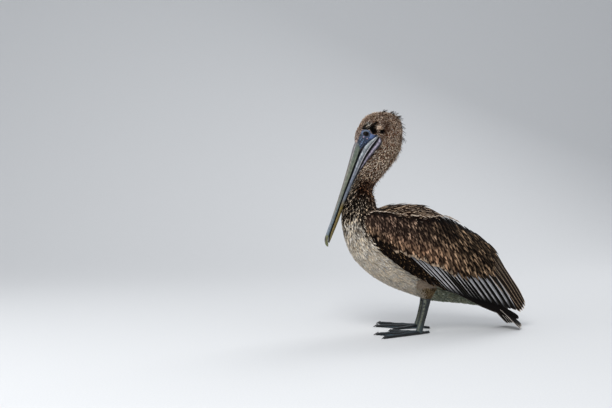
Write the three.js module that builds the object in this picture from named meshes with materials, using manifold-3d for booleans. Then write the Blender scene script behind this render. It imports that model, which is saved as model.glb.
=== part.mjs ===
// A young brown pelican standing at rest, life size, with its bill laid along its breast.
// Millimetres, +Z up, +X the way the bird faces, +Y its left side. Shapes are worked out from a point
// on the floor between the feet, and the finished bird is then centred over the origin.
import * as THREE from "three";
import { mergeVertices } from "three/addons/utils/BufferGeometryUtils.js";
import Module from "manifold-3d";

const wasm = await Module();
wasm.setup();

// ---- Driving dimensions ----
const GAP = 0.3; // clearance between neighbouring solids
const CULMEN = 295; // exposed ridge of the bill, from the forehead to the tip
const ANKLE = 88; // height of the ankle joints over the floor
const FOOT = 128; // heel to the claw of the middle toe
const WEB = 2.2; // thickness of the web between the toes
const EYE = { x: 156, y: 19, z: 545, radius: 7 }; // the left eye

// The body's outline, as ribs from the throat or belly line to the nape or back line. Each is
// [belly x, belly z, back x, back z, half width, roundness], where 1 is an ellipse and less is boxier.
const RIBS = {
  rump: [-200, 64, -216, 108, 22, 1],
  vent: [-115, 76, -156, 205, 50, 1],
  loins: [-38, 85, -100, 284, 66, 1],
  belly: [30, 107, -40, 338, 76, 0.9],
  keel: [93, 133, 24, 352, 78, 0.88],
  foreBreast: [148, 169, 82, 350, 76, 0.88],
  crop: [193, 222, 109, 342, 67, 0.92],
  breastFront: [217, 300, 121, 346, 54, 1],
  neckRoot: [209, 356, 127, 369, 42, 1],
  lowNeck: [188, 402, 131, 397, 33, 1],
  midNeck: [159, 459, 100, 437, 28, 1],
  highNeck: [130, 494, 66, 480, 26.5, 1],
  nape: [112, 518, 50, 524, 27.5, 0.95],
  hindCrown: [112, 531, 56, 586, 29, 0.88],
  crown: [120, 533, 98, 605, 29.5, 0.86],
  foreCrown: [140, 523, 147, 595, 26, 0.82],
  brow: [156, 509, 174, 556, 20, 0.8],
  forehead: [168, 500, 181, 525, 14.5, 0.85],
};
const BODY_RINGS = 45;
const BODY_SIDES = 20;

// A folded wing, as ribs from its upper to its lower edge.
// Each is [upper x, y, z, lower x, y, z, swell of the outer face, depth of the rib].
const WING_RIBS = {
  wrist: [176, 47, 318, 172, 56, 288, 4, 14],
  hand: [150, 50, 337, 152, 67, 252, 13, 26],
  coverts: [104, 54, 335, 120, 76, 220, 20, 34],
  forearm: [52, 57, 328, 75, 81, 181, 22, 36],
  elbow: [-4, 57, 324, 25, 81, 151, 25, 36],
  tertials: [-64, 38, 325, -25, 77, 126, 31, 34],
  secondaries: [-126, 10, 300, -80, 69, 103, 37, 26],
  overRump: [-186, 3, 264, -140, 58, 87, 33, 16],
  fingers: [-230, 2, 222, -190, 46, 68, 24, 11],
  primaries: [-264, 2, 165, -235, 36, 50, 15, 9],
  hindPrimaries: [-296, 3, 112, -268, 26, 38, 8, 7],
  wingTip: [-319, 6, 66, -294, 18, 31, 3, 4],
};
const WING_RINGS = 20;
const WING_SIDES = 6; // steps along each face of a rib
const WING_LIE = new THREE.Vector3(-0.89, 0, -0.46); // the way a folded wing points
// The ragged lower edge of the coverts, from the wrist to the wing's tip: [x, z]. The long flight
// feathers show below it, a step further in.
const COVERT_EDGE = [
  [190, 268],
  [123, 247],
  [38, 211],
  [-40, 176],
  [-128, 141],
  [-190, 121],
  [-250, 90],
  [-330, 42],
];
const COVERT_STEP = 3.5;
const THINNEST_WING = 3;

// The bill's own frame: s runs from the forehead to the tip, h rises towards the ridge.
const BILL_BASE = new THREE.Vector3(181, 0, 524);
const BILL_PITCH = THREE.MathUtils.degToRad(-74.1);
// Upper bill: [s, ridge h, mouth h, half width].
const UPPER_BILL = {
  root: [-5, -2, -17, 14],
  base: [12, 0.6, -18.5, 15.5],
  flank: [40, 0.6, -17.3, 14.5],
  third: [90, 0.5, -12.6, 12.8],
  half: [150, 1.6, -6.6, 12],
  spoon: [215, 4.2, -2.2, 12.8],
  behindNail: [255, 7.2, 0.8, 11.4],
  nail: [276, 8.6, 0.4, 8.5],
  nailTip: [289, 4, -5, 4.6],
  hook: [295, -2, -6.5, 2],
};
// Lower bill: [s, mouth h, lower edge h, half width]. It starts at the gape, on the side of the head.
const LOWER_BILL = {
  gape: [-32, -50, -55, 23],
  jaw: [-20, -39, -54, 25.5],
  cheek: [2, -25, -46.5, 24],
  flank: [36, -17.5, -36.5, 19.5],
  third: [90, -12.8, -27.5, 14],
  half: [150, -6.9, -19.5, 11.6],
  spoon: [215, -2.5, -14.3, 12],
  chin: [258, 0.5, -9.5, 10.4],
  tip: [284, -3, -6.5, 5],
};
// Gular pouch, shrunk to folds below the lower bill: [s, top h, lower edge h, half width].
const POUCH = {
  throat: [-30, -56, -64, 15],
  fold: [-17, -52, -73, 19],
  cheek: [8, -43, -62.5, 18.5],
  hang: [38, -34, -48.5, 15],
  third: [80, -26, -32, 10],
  half: [125, -20, -23.4, 6],
};
const BILL_RINGS = 16;
const BILL_SIDES = 10;
const BILL_ROUNDNESS = 0.85;

// Tail: the middle of its root and of its end, and how far its edges droop and fall short.
const TAIL_ROOT = { x: -190, z: 98, halfWidth: 20 };
const TAIL_END = { x: -303, z: 11, halfWidth: 42 };
const TAIL_FEATHERS = 7;
const TAIL_THICK = 5;
const TAIL_DROOP = 13;
const TAIL_ROUNDING = 0.18;
const TAIL_VANE = 9.5; // half width of one feather

// Legs: where each ankle and heel stands, and how far its foot turns outwards, in degrees.
const LEGS = {
  left: { side: 1, ankle: [-9, 48], heel: [12, 48], turn: -4 },
  right: { side: -1, ankle: [-34, -50], heel: [-17, -54], turn: 13 },
};
const LEG_SIDES = 12;
// Thigh under the belly's feathers: [height over the ankle, radius fore and aft, radius across].
const THIGH = [
  [62, 40, 22],
  [44, 33, 20],
  [26, 22, 15],
  [14, 15, 11],
  [9, 10.5, 8.5],
];
// Bare shank: [share of the way from the thigh to the foot, radius fore and aft, radius across].
const SHANK = [
  [0, 8.5, 6.5],
  [0.06, 10, 7.2],
  [0.12, 10.6, 7.6],
  [0.22, 9.6, 6.8],
  [0.36, 8.6, 5.6],
  [0.72, 8.4, 5.4],
  [0.9, 9.2, 6.4],
  [1, 9.6, 7],
];
// Pad under the shank: [height over the floor, radius fore and aft, radius across].
const HEEL_PAD = [
  [-2, 13, 10],
  [5, 12, 9.4],
  [9, 10.6, 8],
  [13, 9.6, 7],
];
// Toes: [share of FOOT, degrees outwards from the middle toe, root radius].
const TOES = {
  outer: [1.02, 26, 5],
  middle: [1, 0, 5.2],
  inner: [0.72, -33, 4.8],
  hind: [0.3, -152, 4],
};
// Along a toe: [share of its length, width and height as shares of its root radius]. The claw ends it.
const TOE_TAPER = [
  [0, 1.3, 1.2],
  [0.25, 1, 1],
  [0.55, 0.86, 0.82],
  [0.84, 0.78, 0.8],
  [0.92, 0.5, 0.55],
  [1, 0.14, 0.16],
];
const TOE_SIDES = 6;
const TOE_SINK = 0.8; // height of a toe's axis, as a share of its radius
const WEB_REACH = 0.9; // how far along the toes the web runs
const WEB_DIP = 0.4; // how deep the web's edge dips between two toes
const HIND_WEB_DIP = 0.26;

// ---- Shapes from ribs ----
/** The values of a table of ribs at share t of its length, on a smooth curve through them all. */
function ribAt(table, t) {
  const rows = Object.values(table);
  const at = THREE.MathUtils.clamp(t, 0, 1) * (rows.length - 1);
  const i = Math.min(Math.floor(at), rows.length - 2);
  const f = at - i;
  const row = (k) => rows[THREE.MathUtils.clamp(k, 0, rows.length - 1)];
  const [a, b, c, d] = [row(i - 1), row(i), row(i + 1), row(i + 2)];
  return b.map((_, k) => {
    const [enters, leaves] = [(c[k] - a[k]) / 2, (d[k] - b[k]) / 2];
    const rise = c[k] - b[k];
    return b[k] + f * (enters + f * (3 * rise - 2 * enters - leaves + f * (enters + leaves - 2 * rise)));
  });
}

/** A closed solid through rings of points that run the same way round, with a cap on each end. */
function loft(rings) {
  const sides = rings[0].length;
  const middle = (ring) => ring.reduce((sum, p) => sum.add(p), new THREE.Vector3()).divideScalar(sides);
  const points = [...rings.flat(), middle(rings[0]), middle(rings.at(-1))];
  const [first, last] = [points.length - 2, points.length - 1];
  const faces = [];
  for (let side = 0; side < sides; side++) {
    const next = (side + 1) % sides;
    for (let ring = 0; ring < rings.length - 1; ring++) {
      const [a, b] = [ring * sides + side, ring * sides + next];
      faces.push(a, b, b + sides, a, b + sides, a + sides);
    }
    const end = (rings.length - 1) * sides;
    faces.push(first, next, side, last, end + side, end + next);
  }
  const geometry = new THREE.BufferGeometry().setFromPoints(points);
  geometry.setIndex(faces);
  return solid(geometry);
}

/** A three.js geometry as a manifold solid, its faces turned round if they point inwards. */
function solid(geometry) {
  const bare = geometry.clone();
  bare.deleteAttribute("normal");
  bare.deleteAttribute("uv");
  const merged = mergeVertices(bare, 1e-4);
  const corners = new Uint32Array(merged.index.array);
  const make = () =>
    new wasm.Manifold(
      new wasm.Mesh({
        numProp: 3,
        vertProperties: new Float32Array(merged.attributes.position.array),
        triVerts: corners,
      }),
    );
  const made = make();
  if (made.volume() > 0) return made;
  corners.reverse();
  return make();
}

/** A manifold solid back as a three.js geometry. */
function geometryOf(made) {
  const mesh = made.getMesh();
  const geometry = new THREE.BufferGeometry();
  geometry.setAttribute("position", new THREE.BufferAttribute(new Float32Array(mesh.vertProperties), 3));
  geometry.setIndex(new THREE.BufferAttribute(new Uint32Array(mesh.triVerts), 1));
  geometry.computeVertexNormals();
  return geometry;
}

/** The largest of a solid's separate bodies. */
function largest(made) {
  return made.decompose().sort((a, b) => b.volume() - a.volume())[0];
}

/** A three.js geometry placed at a point and turned by an Euler angle, as a solid. */
function placed(geometry, [x, y, z], [rx, ry, rz] = [0, 0, 0]) {
  geometry.rotateX(rx).rotateY(ry).rotateZ(rz).translate(x, y, z);
  return solid(geometry);
}

const share = (i, count) => i / (count - 1);

/** A sine or cosine bent towards a box as roundness drops below 1. */
const boxed = (value, roundness) => Math.sign(value) * Math.abs(value) ** roundness;

// ---- Body: one loft from rump to forehead, parted into trunk, neck and head ----
/** The whole body, swollen by extra on every side. */
function body(extra = 0) {
  const rings = [];
  for (let ring = 0; ring < BODY_RINGS; ring++) {
    const [bx, bz, dx, dz, width, roundness] = ribAt(RIBS, share(ring, BODY_RINGS));
    const low = new THREE.Vector3(bx, 0, bz);
    const high = new THREE.Vector3(dx, 0, dz);
    const centre = low.clone().add(high).divideScalar(2);
    const up = high.clone().sub(centre);
    up.setLength(up.length() + extra);
    rings.push(
      Array.from({ length: BODY_SIDES }, (_, side) => {
        const turn = (2 * Math.PI * side) / BODY_SIDES;
        const out = new THREE.Vector3(0, (width + extra) * boxed(Math.sin(turn), roundness), 0);
        return centre.clone().addScaledVector(up, boxed(Math.cos(turn), roundness)).add(out);
      }),
    );
  }
  return loft(rings);
}

/** A thin slab across the body, at a place counted in ribs from the rump. */
function partingSlab(place) {
  const [bx, bz, dx, dz, width] = ribAt(RIBS, place / (Object.keys(RIBS).length - 1));
  const [across, lift] = [dx - bx, dz - bz];
  const slab = new THREE.BoxGeometry(1.3 * Math.hypot(across, lift), 2.6 * width, GAP);
  return placed(slab, [(bx + dx) / 2, 0, (bz + dz) / 2], [0, -Math.atan2(lift, across), 0]);
}

// ---- Wings: crescent ribs that wrap the trunk and meet over the rump ----
/** The left wing's whole envelope, swollen by extra on every side, its outer face set in by inset. */
function wing(extra = 0, inset = 0) {
  const rings = Array.from({ length: WING_RINGS }, (_, ring) => {
    const [ux, uy, uz, lx, ly, lz, swell, depth] = ribAt(WING_RIBS, share(ring, WING_RINGS));
    const upper = new THREE.Vector3(ux, uy, uz);
    const chord = new THREE.Vector3(lx, ly, lz).sub(upper);
    const out = chord.clone().cross(WING_LIE).normalize();
    const trim = extra / chord.length();
    upper.addScaledVector(chord, -trim);
    chord.multiplyScalar(1 + 2 * trim);
    const face = (v, rise) => upper.clone().addScaledVector(chord, v).addScaledVector(out, rise);
    const bow = (v) => swell * Math.sin(Math.PI * v) ** 0.8 - inset;
    const hollow = (v) => Math.max(depth - inset, THINNEST_WING) * Math.sin(Math.PI * v) ** 0.3;
    const outer = Array.from({ length: WING_SIDES + 1 }, (_, i) => {
      const v = i / WING_SIDES;
      return face(v, bow(v) + extra);
    });
    const inner = Array.from({ length: WING_SIDES }, (_, i) => {
      const v = 1 - (i + 0.5) / WING_SIDES;
      return face(v, bow(v) - hollow(v) - extra);
    });
    return [...outer, ...inner];
  });
  return loft(rings);
}

/** All that lies below the coverts' edge, lowered by drop. */
function belowCoverts(drop = 0) {
  const edge = new THREE.SplineCurve(COVERT_EDGE.map(([x, z]) => new THREE.Vector2(x, z - drop)));
  const floor = [new THREE.Vector2(-400, -100), new THREE.Vector2(400, -100)];
  const below = new THREE.Shape([...edge.getPoints(24), ...floor]);
  const prism = new THREE.ExtrudeGeometry(below, { depth: 400, bevelEnabled: false });
  return placed(prism, [0, 200, 0], [Math.PI / 2, 0, 0]);
}

// ---- Bill: lofts in its own frame, laid along the bill's slope ----
/** A length of the bill from its table, swollen by extra on every side. */
function billPart(table, extra = 0) {
  const forward = new THREE.Vector3(Math.cos(BILL_PITCH), 0, Math.sin(BILL_PITCH));
  const rise = new THREE.Vector3(-Math.sin(BILL_PITCH), 0, Math.cos(BILL_PITCH));
  const scale = CULMEN / Object.values(UPPER_BILL).at(-1)[0];
  const rings = Array.from({ length: BILL_RINGS }, (_, ring) => {
    const [along, top, bottom, width] = ribAt(table, share(ring, BILL_RINGS));
    const past = ring === 0 ? -extra : ring === BILL_RINGS - 1 ? extra : 0;
    const centre = BILL_BASE.clone().addScaledVector(forward, along * scale + past);
    centre.addScaledVector(rise, (top + bottom) / 2);
    return Array.from({ length: BILL_SIDES }, (_, side) => {
      const turn = (2 * Math.PI * side) / BILL_SIDES;
      const up = ((top - bottom) / 2 + extra) * boxed(Math.cos(turn), BILL_ROUNDNESS);
      const out = (width + extra) * boxed(Math.sin(turn), BILL_ROUNDNESS);
      return centre.clone().addScaledVector(rise, up).add(new THREE.Vector3(0, out, 0));
    });
  });
  return loft(rings);
}

// ---- Tail: a fan of blunt feathers, joined ----
/** The closed tail, swollen by extra on every side. */
function tail(extra = 0) {
  const [run, fall] = [TAIL_ROOT.x - TAIL_END.x, TAIL_ROOT.z - TAIL_END.z];
  const length = Math.hypot(run, fall);
  const half = TAIL_VANE + extra;
  const thick = TAIL_THICK + 2 * extra;
  const blades = Array.from({ length: TAIL_FEATHERS }, (_, feather) => {
    const place = (2 * feather) / (TAIL_FEATHERS - 1) - 1; // -1 at the right edge, 1 at the left
    const end = length * (1 - TAIL_ROUNDING * place * place) + extra;
    const vane = new THREE.Shape();
    vane.moveTo(0, -half * 0.7);
    vane.lineTo(end - half, -half);
    vane.absellipse(end - half, 0, half, half, -Math.PI / 2, Math.PI / 2);
    vane.lineTo(0, half * 0.7);
    const blade = new THREE.ExtrudeGeometry(vane, { depth: thick, bevelEnabled: false, curveSegments: 3 });
    blade.translate(0, 0, -thick / 2);
    blade.rotateX(-Math.atan2(2 * TAIL_DROOP * place, TAIL_END.halfWidth));
    blade.rotateY(Math.atan2(TAIL_DROOP * place * place, length));
    blade.rotateZ(Math.atan2((TAIL_END.halfWidth - TAIL_ROOT.halfWidth) * place, length));
    blade.translate(0, (TAIL_ROOT.halfWidth - TAIL_VANE / 2) * place, 0);
    return placed(blade.rotateZ(Math.PI), [TAIL_ROOT.x, 0, TAIL_ROOT.z], [0, -Math.atan2(fall, run), 0]);
  });
  return blades.reduce((fan, blade) => fan.add(blade));
}

// ---- Legs ----
/** A limb through rings of [centre x, y, z, radius fore and aft, radius across]. */
function limb(stations) {
  const rings = stations.map(([x, y, z, deep, wide]) =>
    Array.from({ length: LEG_SIDES }, (_, side) => {
      const turn = (2 * Math.PI * side) / LEG_SIDES;
      return new THREE.Vector3(x + deep * Math.cos(turn), y + wide * Math.sin(turn), z);
    }),
  );
  return loft(rings);
}

/** The feathered thigh, a short cone below the belly. */
function thigh({ ankle: [x, y] }) {
  return limb(THIGH.map(([over, deep, wide]) => [x, y, ANKLE + over, deep, wide]));
}

/** The bare shank, from the thigh's feathers over the ankle to the foot's pad. */
function shank({ ankle: [ax, ay], heel: [hx, hy] }) {
  const top = ANKLE + THIGH.at(-1)[0] - GAP;
  const bottom = HEEL_PAD.at(-1)[0] + GAP;
  const mix = THREE.MathUtils.lerp;
  const place = (at) => [mix(ax, hx, at), mix(ay, hy, at), mix(top, bottom, at)];
  return limb(SHANK.map(([at, ...radii]) => [...place(at), ...radii]));
}

/** One toe with its claw, lying along +X before it is turned by angle. */
function toe(angle, length, radius) {
  const rings = TOE_TAPER.map(([at, wide, high]) =>
    Array.from({ length: TOE_SIDES }, (_, side) => {
      const turn = (2 * Math.PI * side) / TOE_SIDES;
      const height = radius * high * (TOE_SINK + Math.sin(turn));
      const point = new THREE.Vector3(at * length, radius * wide * Math.cos(turn), height);
      return point.applyAxisAngle(new THREE.Vector3(0, 0, 1), angle);
    }),
  );
  return loft(rings);
}

/** The web that joins all four toes, as a flat plate on the floor. */
function web(tips) {
  const outline = new THREE.Shape().moveTo(-6, 0);
  tips.forEach((tip, i) => {
    const end = tip.clone().multiplyScalar(WEB_REACH);
    if (i === 0) {
      outline.lineTo(end.x, end.y);
      return;
    }
    const depth = i === tips.length - 1 ? HIND_WEB_DIP : WEB_DIP;
    const dip = tips[i - 1].clone().add(tip).multiplyScalar(depth);
    outline.quadraticCurveTo(dip.x, dip.y, end.x, end.y);
  });
  outline.closePath();
  return solid(new THREE.ExtrudeGeometry(outline, { depth: WEB, bevelEnabled: false, curveSegments: 4 }));
}

/** Webbed foot with four toes, flat underneath. */
function foot({ side, heel: [hx, hy], turn }) {
  const toes = Object.values(TOES).map(([reach, outwards, radius]) => ({
    angle: side * THREE.MathUtils.degToRad(turn + outwards),
    length: reach * FOOT,
    radius,
  }));
  const heel = new THREE.Vector2();
  const tips = toes.map(({ angle, length }) => new THREE.Vector2(length, 0).rotateAround(heel, angle));
  const pad = limb(HEEL_PAD.map(([z, deep, wide]) => [0, 0, z, deep, wide]));
  const below = placed(new THREE.BoxGeometry(3 * FOOT, 3 * FOOT, 20), [0, 0, -10]);
  const webbed = toes.reduce((made, one) => made.add(toe(one.angle, one.length, one.radius)), web(tips));
  return webbed.add(pad).subtract(below).translate([hx, hy, 0]);
}

// ---- Fitting the pieces to each other ----
const eye = (side, extra = 0) =>
  placed(new THREE.SphereGeometry(EYE.radius + extra, 14, 8), [EYE.x, side * EYE.y, EYE.z]);
const without = (whole, taken) => largest(taken.reduce((left, piece) => left.subtract(piece), whole));

const bodyRoom = body(GAP);
const tailRoom = tail(GAP);
const upperBillRoom = billPart(UPPER_BILL, GAP);
const lowerBillRoom = billPart(LOWER_BILL, GAP);
const nearWing = wing(2 * GAP).add(wing(2 * GAP, COVERT_STEP));
const wingRoom = nearWing.add(nearWing.mirror([0, 1, 0]));
const rightHalf = placed(new THREE.BoxGeometry(900, 200, 900), [0, GAP / 2 - 100, 300]);

// The body is parted at the nape, half way down the neck and where the neck leaves the breast.
const PARTINGS = [11.5, 9.3, 7.3]; // counted in ribs from the rump
const billAndEyes = [upperBillRoom, lowerBillRoom, billPart(POUCH, GAP), eye(1, GAP), eye(-1, GAP)];
const [trunk, neckLower, neckUpper, head] = [...billAndEyes, ...PARTINGS.map(partingSlab)]
  .reduce((left, piece) => left.subtract(piece), body())
  .decompose()
  .filter((piece) => piece.volume() > 1000)
  .sort((a, b) => a.boundingBox().max[2] - b.boundingBox().max[2]);

const wingSpace = [bodyRoom, tailRoom, rightHalf];
const coverts = without(wing().subtract(belowCoverts()), wingSpace);
const flightFeathers = without(wing(0, COVERT_STEP).intersect(belowCoverts(GAP)), wingSpace);

// ---- The bird ----
const bird = new THREE.Group();
const flat = (color, roughness) => new THREE.MeshStandardMaterial({ color, roughness, metalness: 0 });
const paints = {
  brown: flat(0x5a4638, 0.85),
  neck: flat(0x6e5a4c, 0.85),
  wing: flat(0x4a3a30, 0.8),
  flight: flat(0x2e2723, 0.75),
  bill: flat(0x84897c, 0.45),
  pouch: flat(0x6e7180, 0.6),
  eye: flat(0x120c08, 0.1),
  skin: flat(0x4c5a5c, 0.6),
  thigh: flat(0x8a7864, 0.85),
};

function addPiece(name, made, paint) {
  const mesh = new THREE.Mesh(geometryOf(made), paints[paint]);
  mesh.name = name;
  bird.add(mesh);
}

addPiece("trunk", trunk, "brown");
addPiece("neck_lower", neckLower, "neck");
addPiece("neck_upper", neckUpper, "neck");
addPiece("head", head, "brown");
addPiece("bill_upper", billPart(UPPER_BILL), "bill");
addPiece("bill_lower", without(billPart(LOWER_BILL), [upperBillRoom]), "bill");
addPiece("pouch", without(billPart(POUCH), [lowerBillRoom, upperBillRoom]), "pouch");
addPiece("tail", without(tail(), [bodyRoom]), "flight");
for (const [name, { side }] of Object.entries(LEGS)) {
  const sided = (made) => (side > 0 ? made : made.mirror([0, 1, 0]));
  addPiece(`eye_${name}`, eye(side), "eye");
  addPiece(`wing_${name}`, sided(coverts), "wing");
  addPiece(`flight_feathers_${name}`, sided(flightFeathers), "flight");
  addPiece(`thigh_${name}`, without(thigh(LEGS[name]), [bodyRoom, wingRoom]), "thigh");
  addPiece(`shank_${name}`, shank(LEGS[name]), "skin");
  addPiece(`foot_${name}`, foot(LEGS[name]), "skin");
}

const reach = new THREE.Box3().setFromObject(bird);
const middle = reach.getCenter(new THREE.Vector3());
bird.position.set(-middle.x, -middle.y, -reach.min.z);
export default bird;
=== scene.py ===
"""A young brown pelican at rest, life size: skin, bill, feet, eyes and every tract of its feathers."""

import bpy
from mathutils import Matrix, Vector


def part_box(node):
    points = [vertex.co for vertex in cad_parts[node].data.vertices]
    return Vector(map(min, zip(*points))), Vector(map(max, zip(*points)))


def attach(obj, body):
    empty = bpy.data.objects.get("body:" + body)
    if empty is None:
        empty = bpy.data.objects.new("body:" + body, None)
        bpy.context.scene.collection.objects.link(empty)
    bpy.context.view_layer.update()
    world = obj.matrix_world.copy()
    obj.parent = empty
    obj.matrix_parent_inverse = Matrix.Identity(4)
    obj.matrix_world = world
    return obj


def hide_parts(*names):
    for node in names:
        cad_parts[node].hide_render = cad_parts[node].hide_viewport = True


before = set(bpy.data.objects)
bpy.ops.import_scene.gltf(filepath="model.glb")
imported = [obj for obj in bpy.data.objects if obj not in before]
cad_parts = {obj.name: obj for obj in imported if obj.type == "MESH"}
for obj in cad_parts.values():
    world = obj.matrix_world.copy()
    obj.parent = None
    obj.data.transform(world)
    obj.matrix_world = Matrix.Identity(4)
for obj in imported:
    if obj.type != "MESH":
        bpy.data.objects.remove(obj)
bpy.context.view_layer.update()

import functools
import math

import bpy
import numpy as np
from mathutils import Vector

# ---- Camera ----
# It stands two metres off the bird's left side and a little ahead of it, as high as the bird's
# breast. Places on the bird are counted from the floor point between its feet; STAND is where that
# point lies in the frame, found from the eye.
EYE = np.array([0.156, 0.019, 0.545])
STAND = np.array(sum(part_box("eye_left"), Vector())) / 2 - EYE

view = bpy.data.cameras.new("camera")
view.lens = 45
view.sensor_width = 36
camera = bpy.data.objects.new("camera", view)
bpy.context.collection.objects.link(camera)
bpy.context.scene.camera = camera
CAMERA_YAW = math.radians(10)
CAMERA_DIP = math.radians(1.05)
camera.location = np.array([0.6764, 2.0385, 0.3929]) + STAND
camera.rotation_euler = (math.pi / 2 - CAMERA_DIP, 0, math.pi - CAMERA_YAW)

# ---- Skin ----
# The bird's body is one skin from the rump over breast and neck to the bill's root, with its thighs.
# It is a loft through ribs, each an oval between a point on the throat and belly line and a point on
# the nape and back line, and it lies under the feathers by the coat's depth.
# Each rib: belly x, belly z, back x, back z, half width, roundness (1 an ellipse, less is boxier).
RIBS = {
    "rump": (-0.200, 0.064, -0.216, 0.108, 0.022, 1),
    "vent": (-0.115, 0.076, -0.156, 0.205, 0.050, 1),
    "loins": (-0.038, 0.085, -0.100, 0.284, 0.066, 1),
    "belly": (0.030, 0.107, -0.040, 0.338, 0.076, 0.9),
    "keel": (0.093, 0.133, 0.024, 0.352, 0.078, 0.88),
    "fore_breast": (0.148, 0.169, 0.082, 0.350, 0.076, 0.88),
    "crop": (0.193, 0.222, 0.109, 0.342, 0.067, 0.92),
    "breast_front": (0.217, 0.300, 0.121, 0.346, 0.054, 1),
    "neck_root": (0.209, 0.356, 0.127, 0.369, 0.042, 1),
    "low_neck": (0.188, 0.402, 0.131, 0.397, 0.033, 1),
    "mid_neck": (0.159, 0.459, 0.100, 0.437, 0.028, 1),
    "high_neck": (0.130, 0.494, 0.066, 0.480, 0.0265, 1),
    "nape": (0.112, 0.518, 0.050, 0.524, 0.0275, 0.95),
    "hind_crown": (0.112, 0.531, 0.056, 0.586, 0.029, 0.88),
    "crown": (0.120, 0.533, 0.098, 0.605, 0.0295, 0.86),
    "fore_crown": (0.140, 0.523, 0.147, 0.595, 0.026, 0.82),
    "brow": (0.156, 0.509, 0.174, 0.556, 0.020, 0.8),
    "forehead": (0.168, 0.500, 0.181, 0.525, 0.0145, 0.85),
}


def rib_at(table, t):
    """The table's values at share t of its length, on the cubic curve through all its ribs."""
    rows = np.array(list(table.values()), float)
    at = np.clip(t, 0, 1) * (len(rows) - 1)
    i = np.minimum(at.astype(int), len(rows) - 2)
    f = (at - i)[..., None]
    a, b, c, d = (rows[np.clip(i + k, 0, len(rows) - 1)] for k in (-1, 0, 1, 2))
    enters, leaves, rise = (c - a) / 2, (d - b) / 2, c - b
    return b + f * (enters + f * (3 * rise - 2 * enters - leaves + f * (enters + leaves - 2 * rise)))


def boxed(value, roundness):
    """A sine or cosine bent towards a box as roundness drops below 1."""
    return np.sign(value) * np.abs(value) ** roundness


def body_surface(t, turn, depth=0.0):
    """Points on the body: rib t gives an oval, turn runs round it from the back over the bird's left
    side, and depth is how far under the feathers' outline the point lies."""
    rib = rib_at(RIBS, t)
    low, high = rib[..., 0:2], rib[..., 2:4]
    reach = (high - low) / 2
    half = np.linalg.norm(reach, axis=-1)
    rise = boxed(np.cos(turn), rib[..., 5]) * np.maximum(1 - depth / half, 0.05)
    out = boxed(np.sin(turn), rib[..., 5]) * np.maximum(rib[..., 4] - depth, 0.001)
    centre = (low + high) / 2 + reach * rise[..., None]
    return np.stack([centre[..., 0], out, centre[..., 1]], -1) + STAND


def unit(vectors):
    """The vectors at length 1."""
    return vectors / np.maximum(np.linalg.norm(vectors, axis=-1, keepdims=True), 1e-12)


def tangents(surface, a, b, depth=0.0):
    """The surface's point, unit normal and its two slopes, by central differences."""
    step = 1e-3
    along = (surface(a + step, b, depth) - surface(a - step, b, depth)) / (2 * step)
    across = (surface(a, b + step, depth) - surface(a, b - step, depth)) / (2 * step)
    return surface(a, b, depth), unit(np.cross(along, across)), along, across


def smooth(low, high, value):
    """Rises smoothly from 0 where value is at low to 1 where it is at high."""
    f = np.clip((value - low) / (high - low), 0, 1)
    return f * f * (3 - 2 * f)


def dip(value, centre, width):
    """1 at the centre, falling off as a bell of the given width."""
    return np.exp(-(((value - centre) / width) ** 2))


def tone(red, green, blue):
    """A display colour of 0 to 255 as linear light."""
    shares = np.array([red, green, blue]) / 255
    return np.where(shares <= 0.04045, shares / 12.92, ((shares + 0.055) / 1.055) ** 2.4)


def blend(first, second, share):
    """A mix of two colours, point by point."""
    share = np.asarray(share)[..., None]
    return first * (1 - share) + second * share


def layered(paint, *coats):
    """A colour under further coats, each a colour and the share of the paint below that it hides."""
    for colour, share in coats:
        paint = blend(paint, colour, share)
    return paint


def ripple(points, scale, seed):
    """Soft random waves, mostly from -1 to 1: six sines along fixed random directions, summed and
    divided by 3.5."""
    waves = np.random.default_rng(seed)
    total = np.zeros(points.shape[:-1])
    for _ in range(6):
        direction = waves.normal(size=3) * scale
        total += np.sin(points @ direction + waves.uniform(0, 2 * math.pi))
    return total / 3.5


def make_mesh(name, points, faces, maps=None, colours=None, numbers=None):
    """A mesh object from whole arrays. maps are UVs, colours and numbers are attributes, all given
    point by point."""
    mesh = bpy.data.meshes.new(name)
    loops = np.concatenate([part.ravel() for part in faces])
    sizes = np.concatenate([np.full(len(part), part.shape[1]) for part in faces])
    mesh.vertices.add(len(points))
    mesh.vertices.foreach_set("co", np.ascontiguousarray(points, np.float32).ravel())
    mesh.loops.add(len(loops))
    mesh.loops.foreach_set("vertex_index", loops.astype(np.int32))
    mesh.polygons.add(len(sizes))
    mesh.polygons.foreach_set("loop_start", (np.cumsum(sizes) - sizes).astype(np.int32))
    mesh.update(calc_edges=True)
    mesh.validate()
    for key, values in (maps or {}).items():
        layer = mesh.uv_layers.new(name=key)
        layer.uv.foreach_set("vector", np.ascontiguousarray(values[loops], np.float32).ravel())
    for key, values in (colours or {}).items():
        layer = mesh.attributes.new(key, "FLOAT_COLOR", "POINT")
        shades = np.concatenate([values, np.ones((len(values), 1))], 1)
        layer.data.foreach_set("color", np.ascontiguousarray(shades, np.float32).ravel())
    for key, values in (numbers or {}).items():
        layer = mesh.attributes.new(key, "FLOAT", "POINT")
        layer.data.foreach_set("value", np.ascontiguousarray(values, np.float32))
    mesh.polygons.foreach_set("use_smooth", np.ones(len(sizes), bool))
    piece = bpy.data.objects.new(name, mesh)
    bpy.context.collection.objects.link(piece)
    return piece


def grid_faces(rows, columns, closed=True):
    """Quads between neighbouring rows of a grid, joined round where the columns close."""
    i, j = np.meshgrid(np.arange(rows - 1), np.arange(columns if closed else columns - 1), indexing="ij")
    k = (j + 1) % columns
    quads = np.stack([i * columns + j, i * columns + k, (i + 1) * columns + k, (i + 1) * columns + j], -1)
    return quads.reshape(-1, 4)


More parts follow.
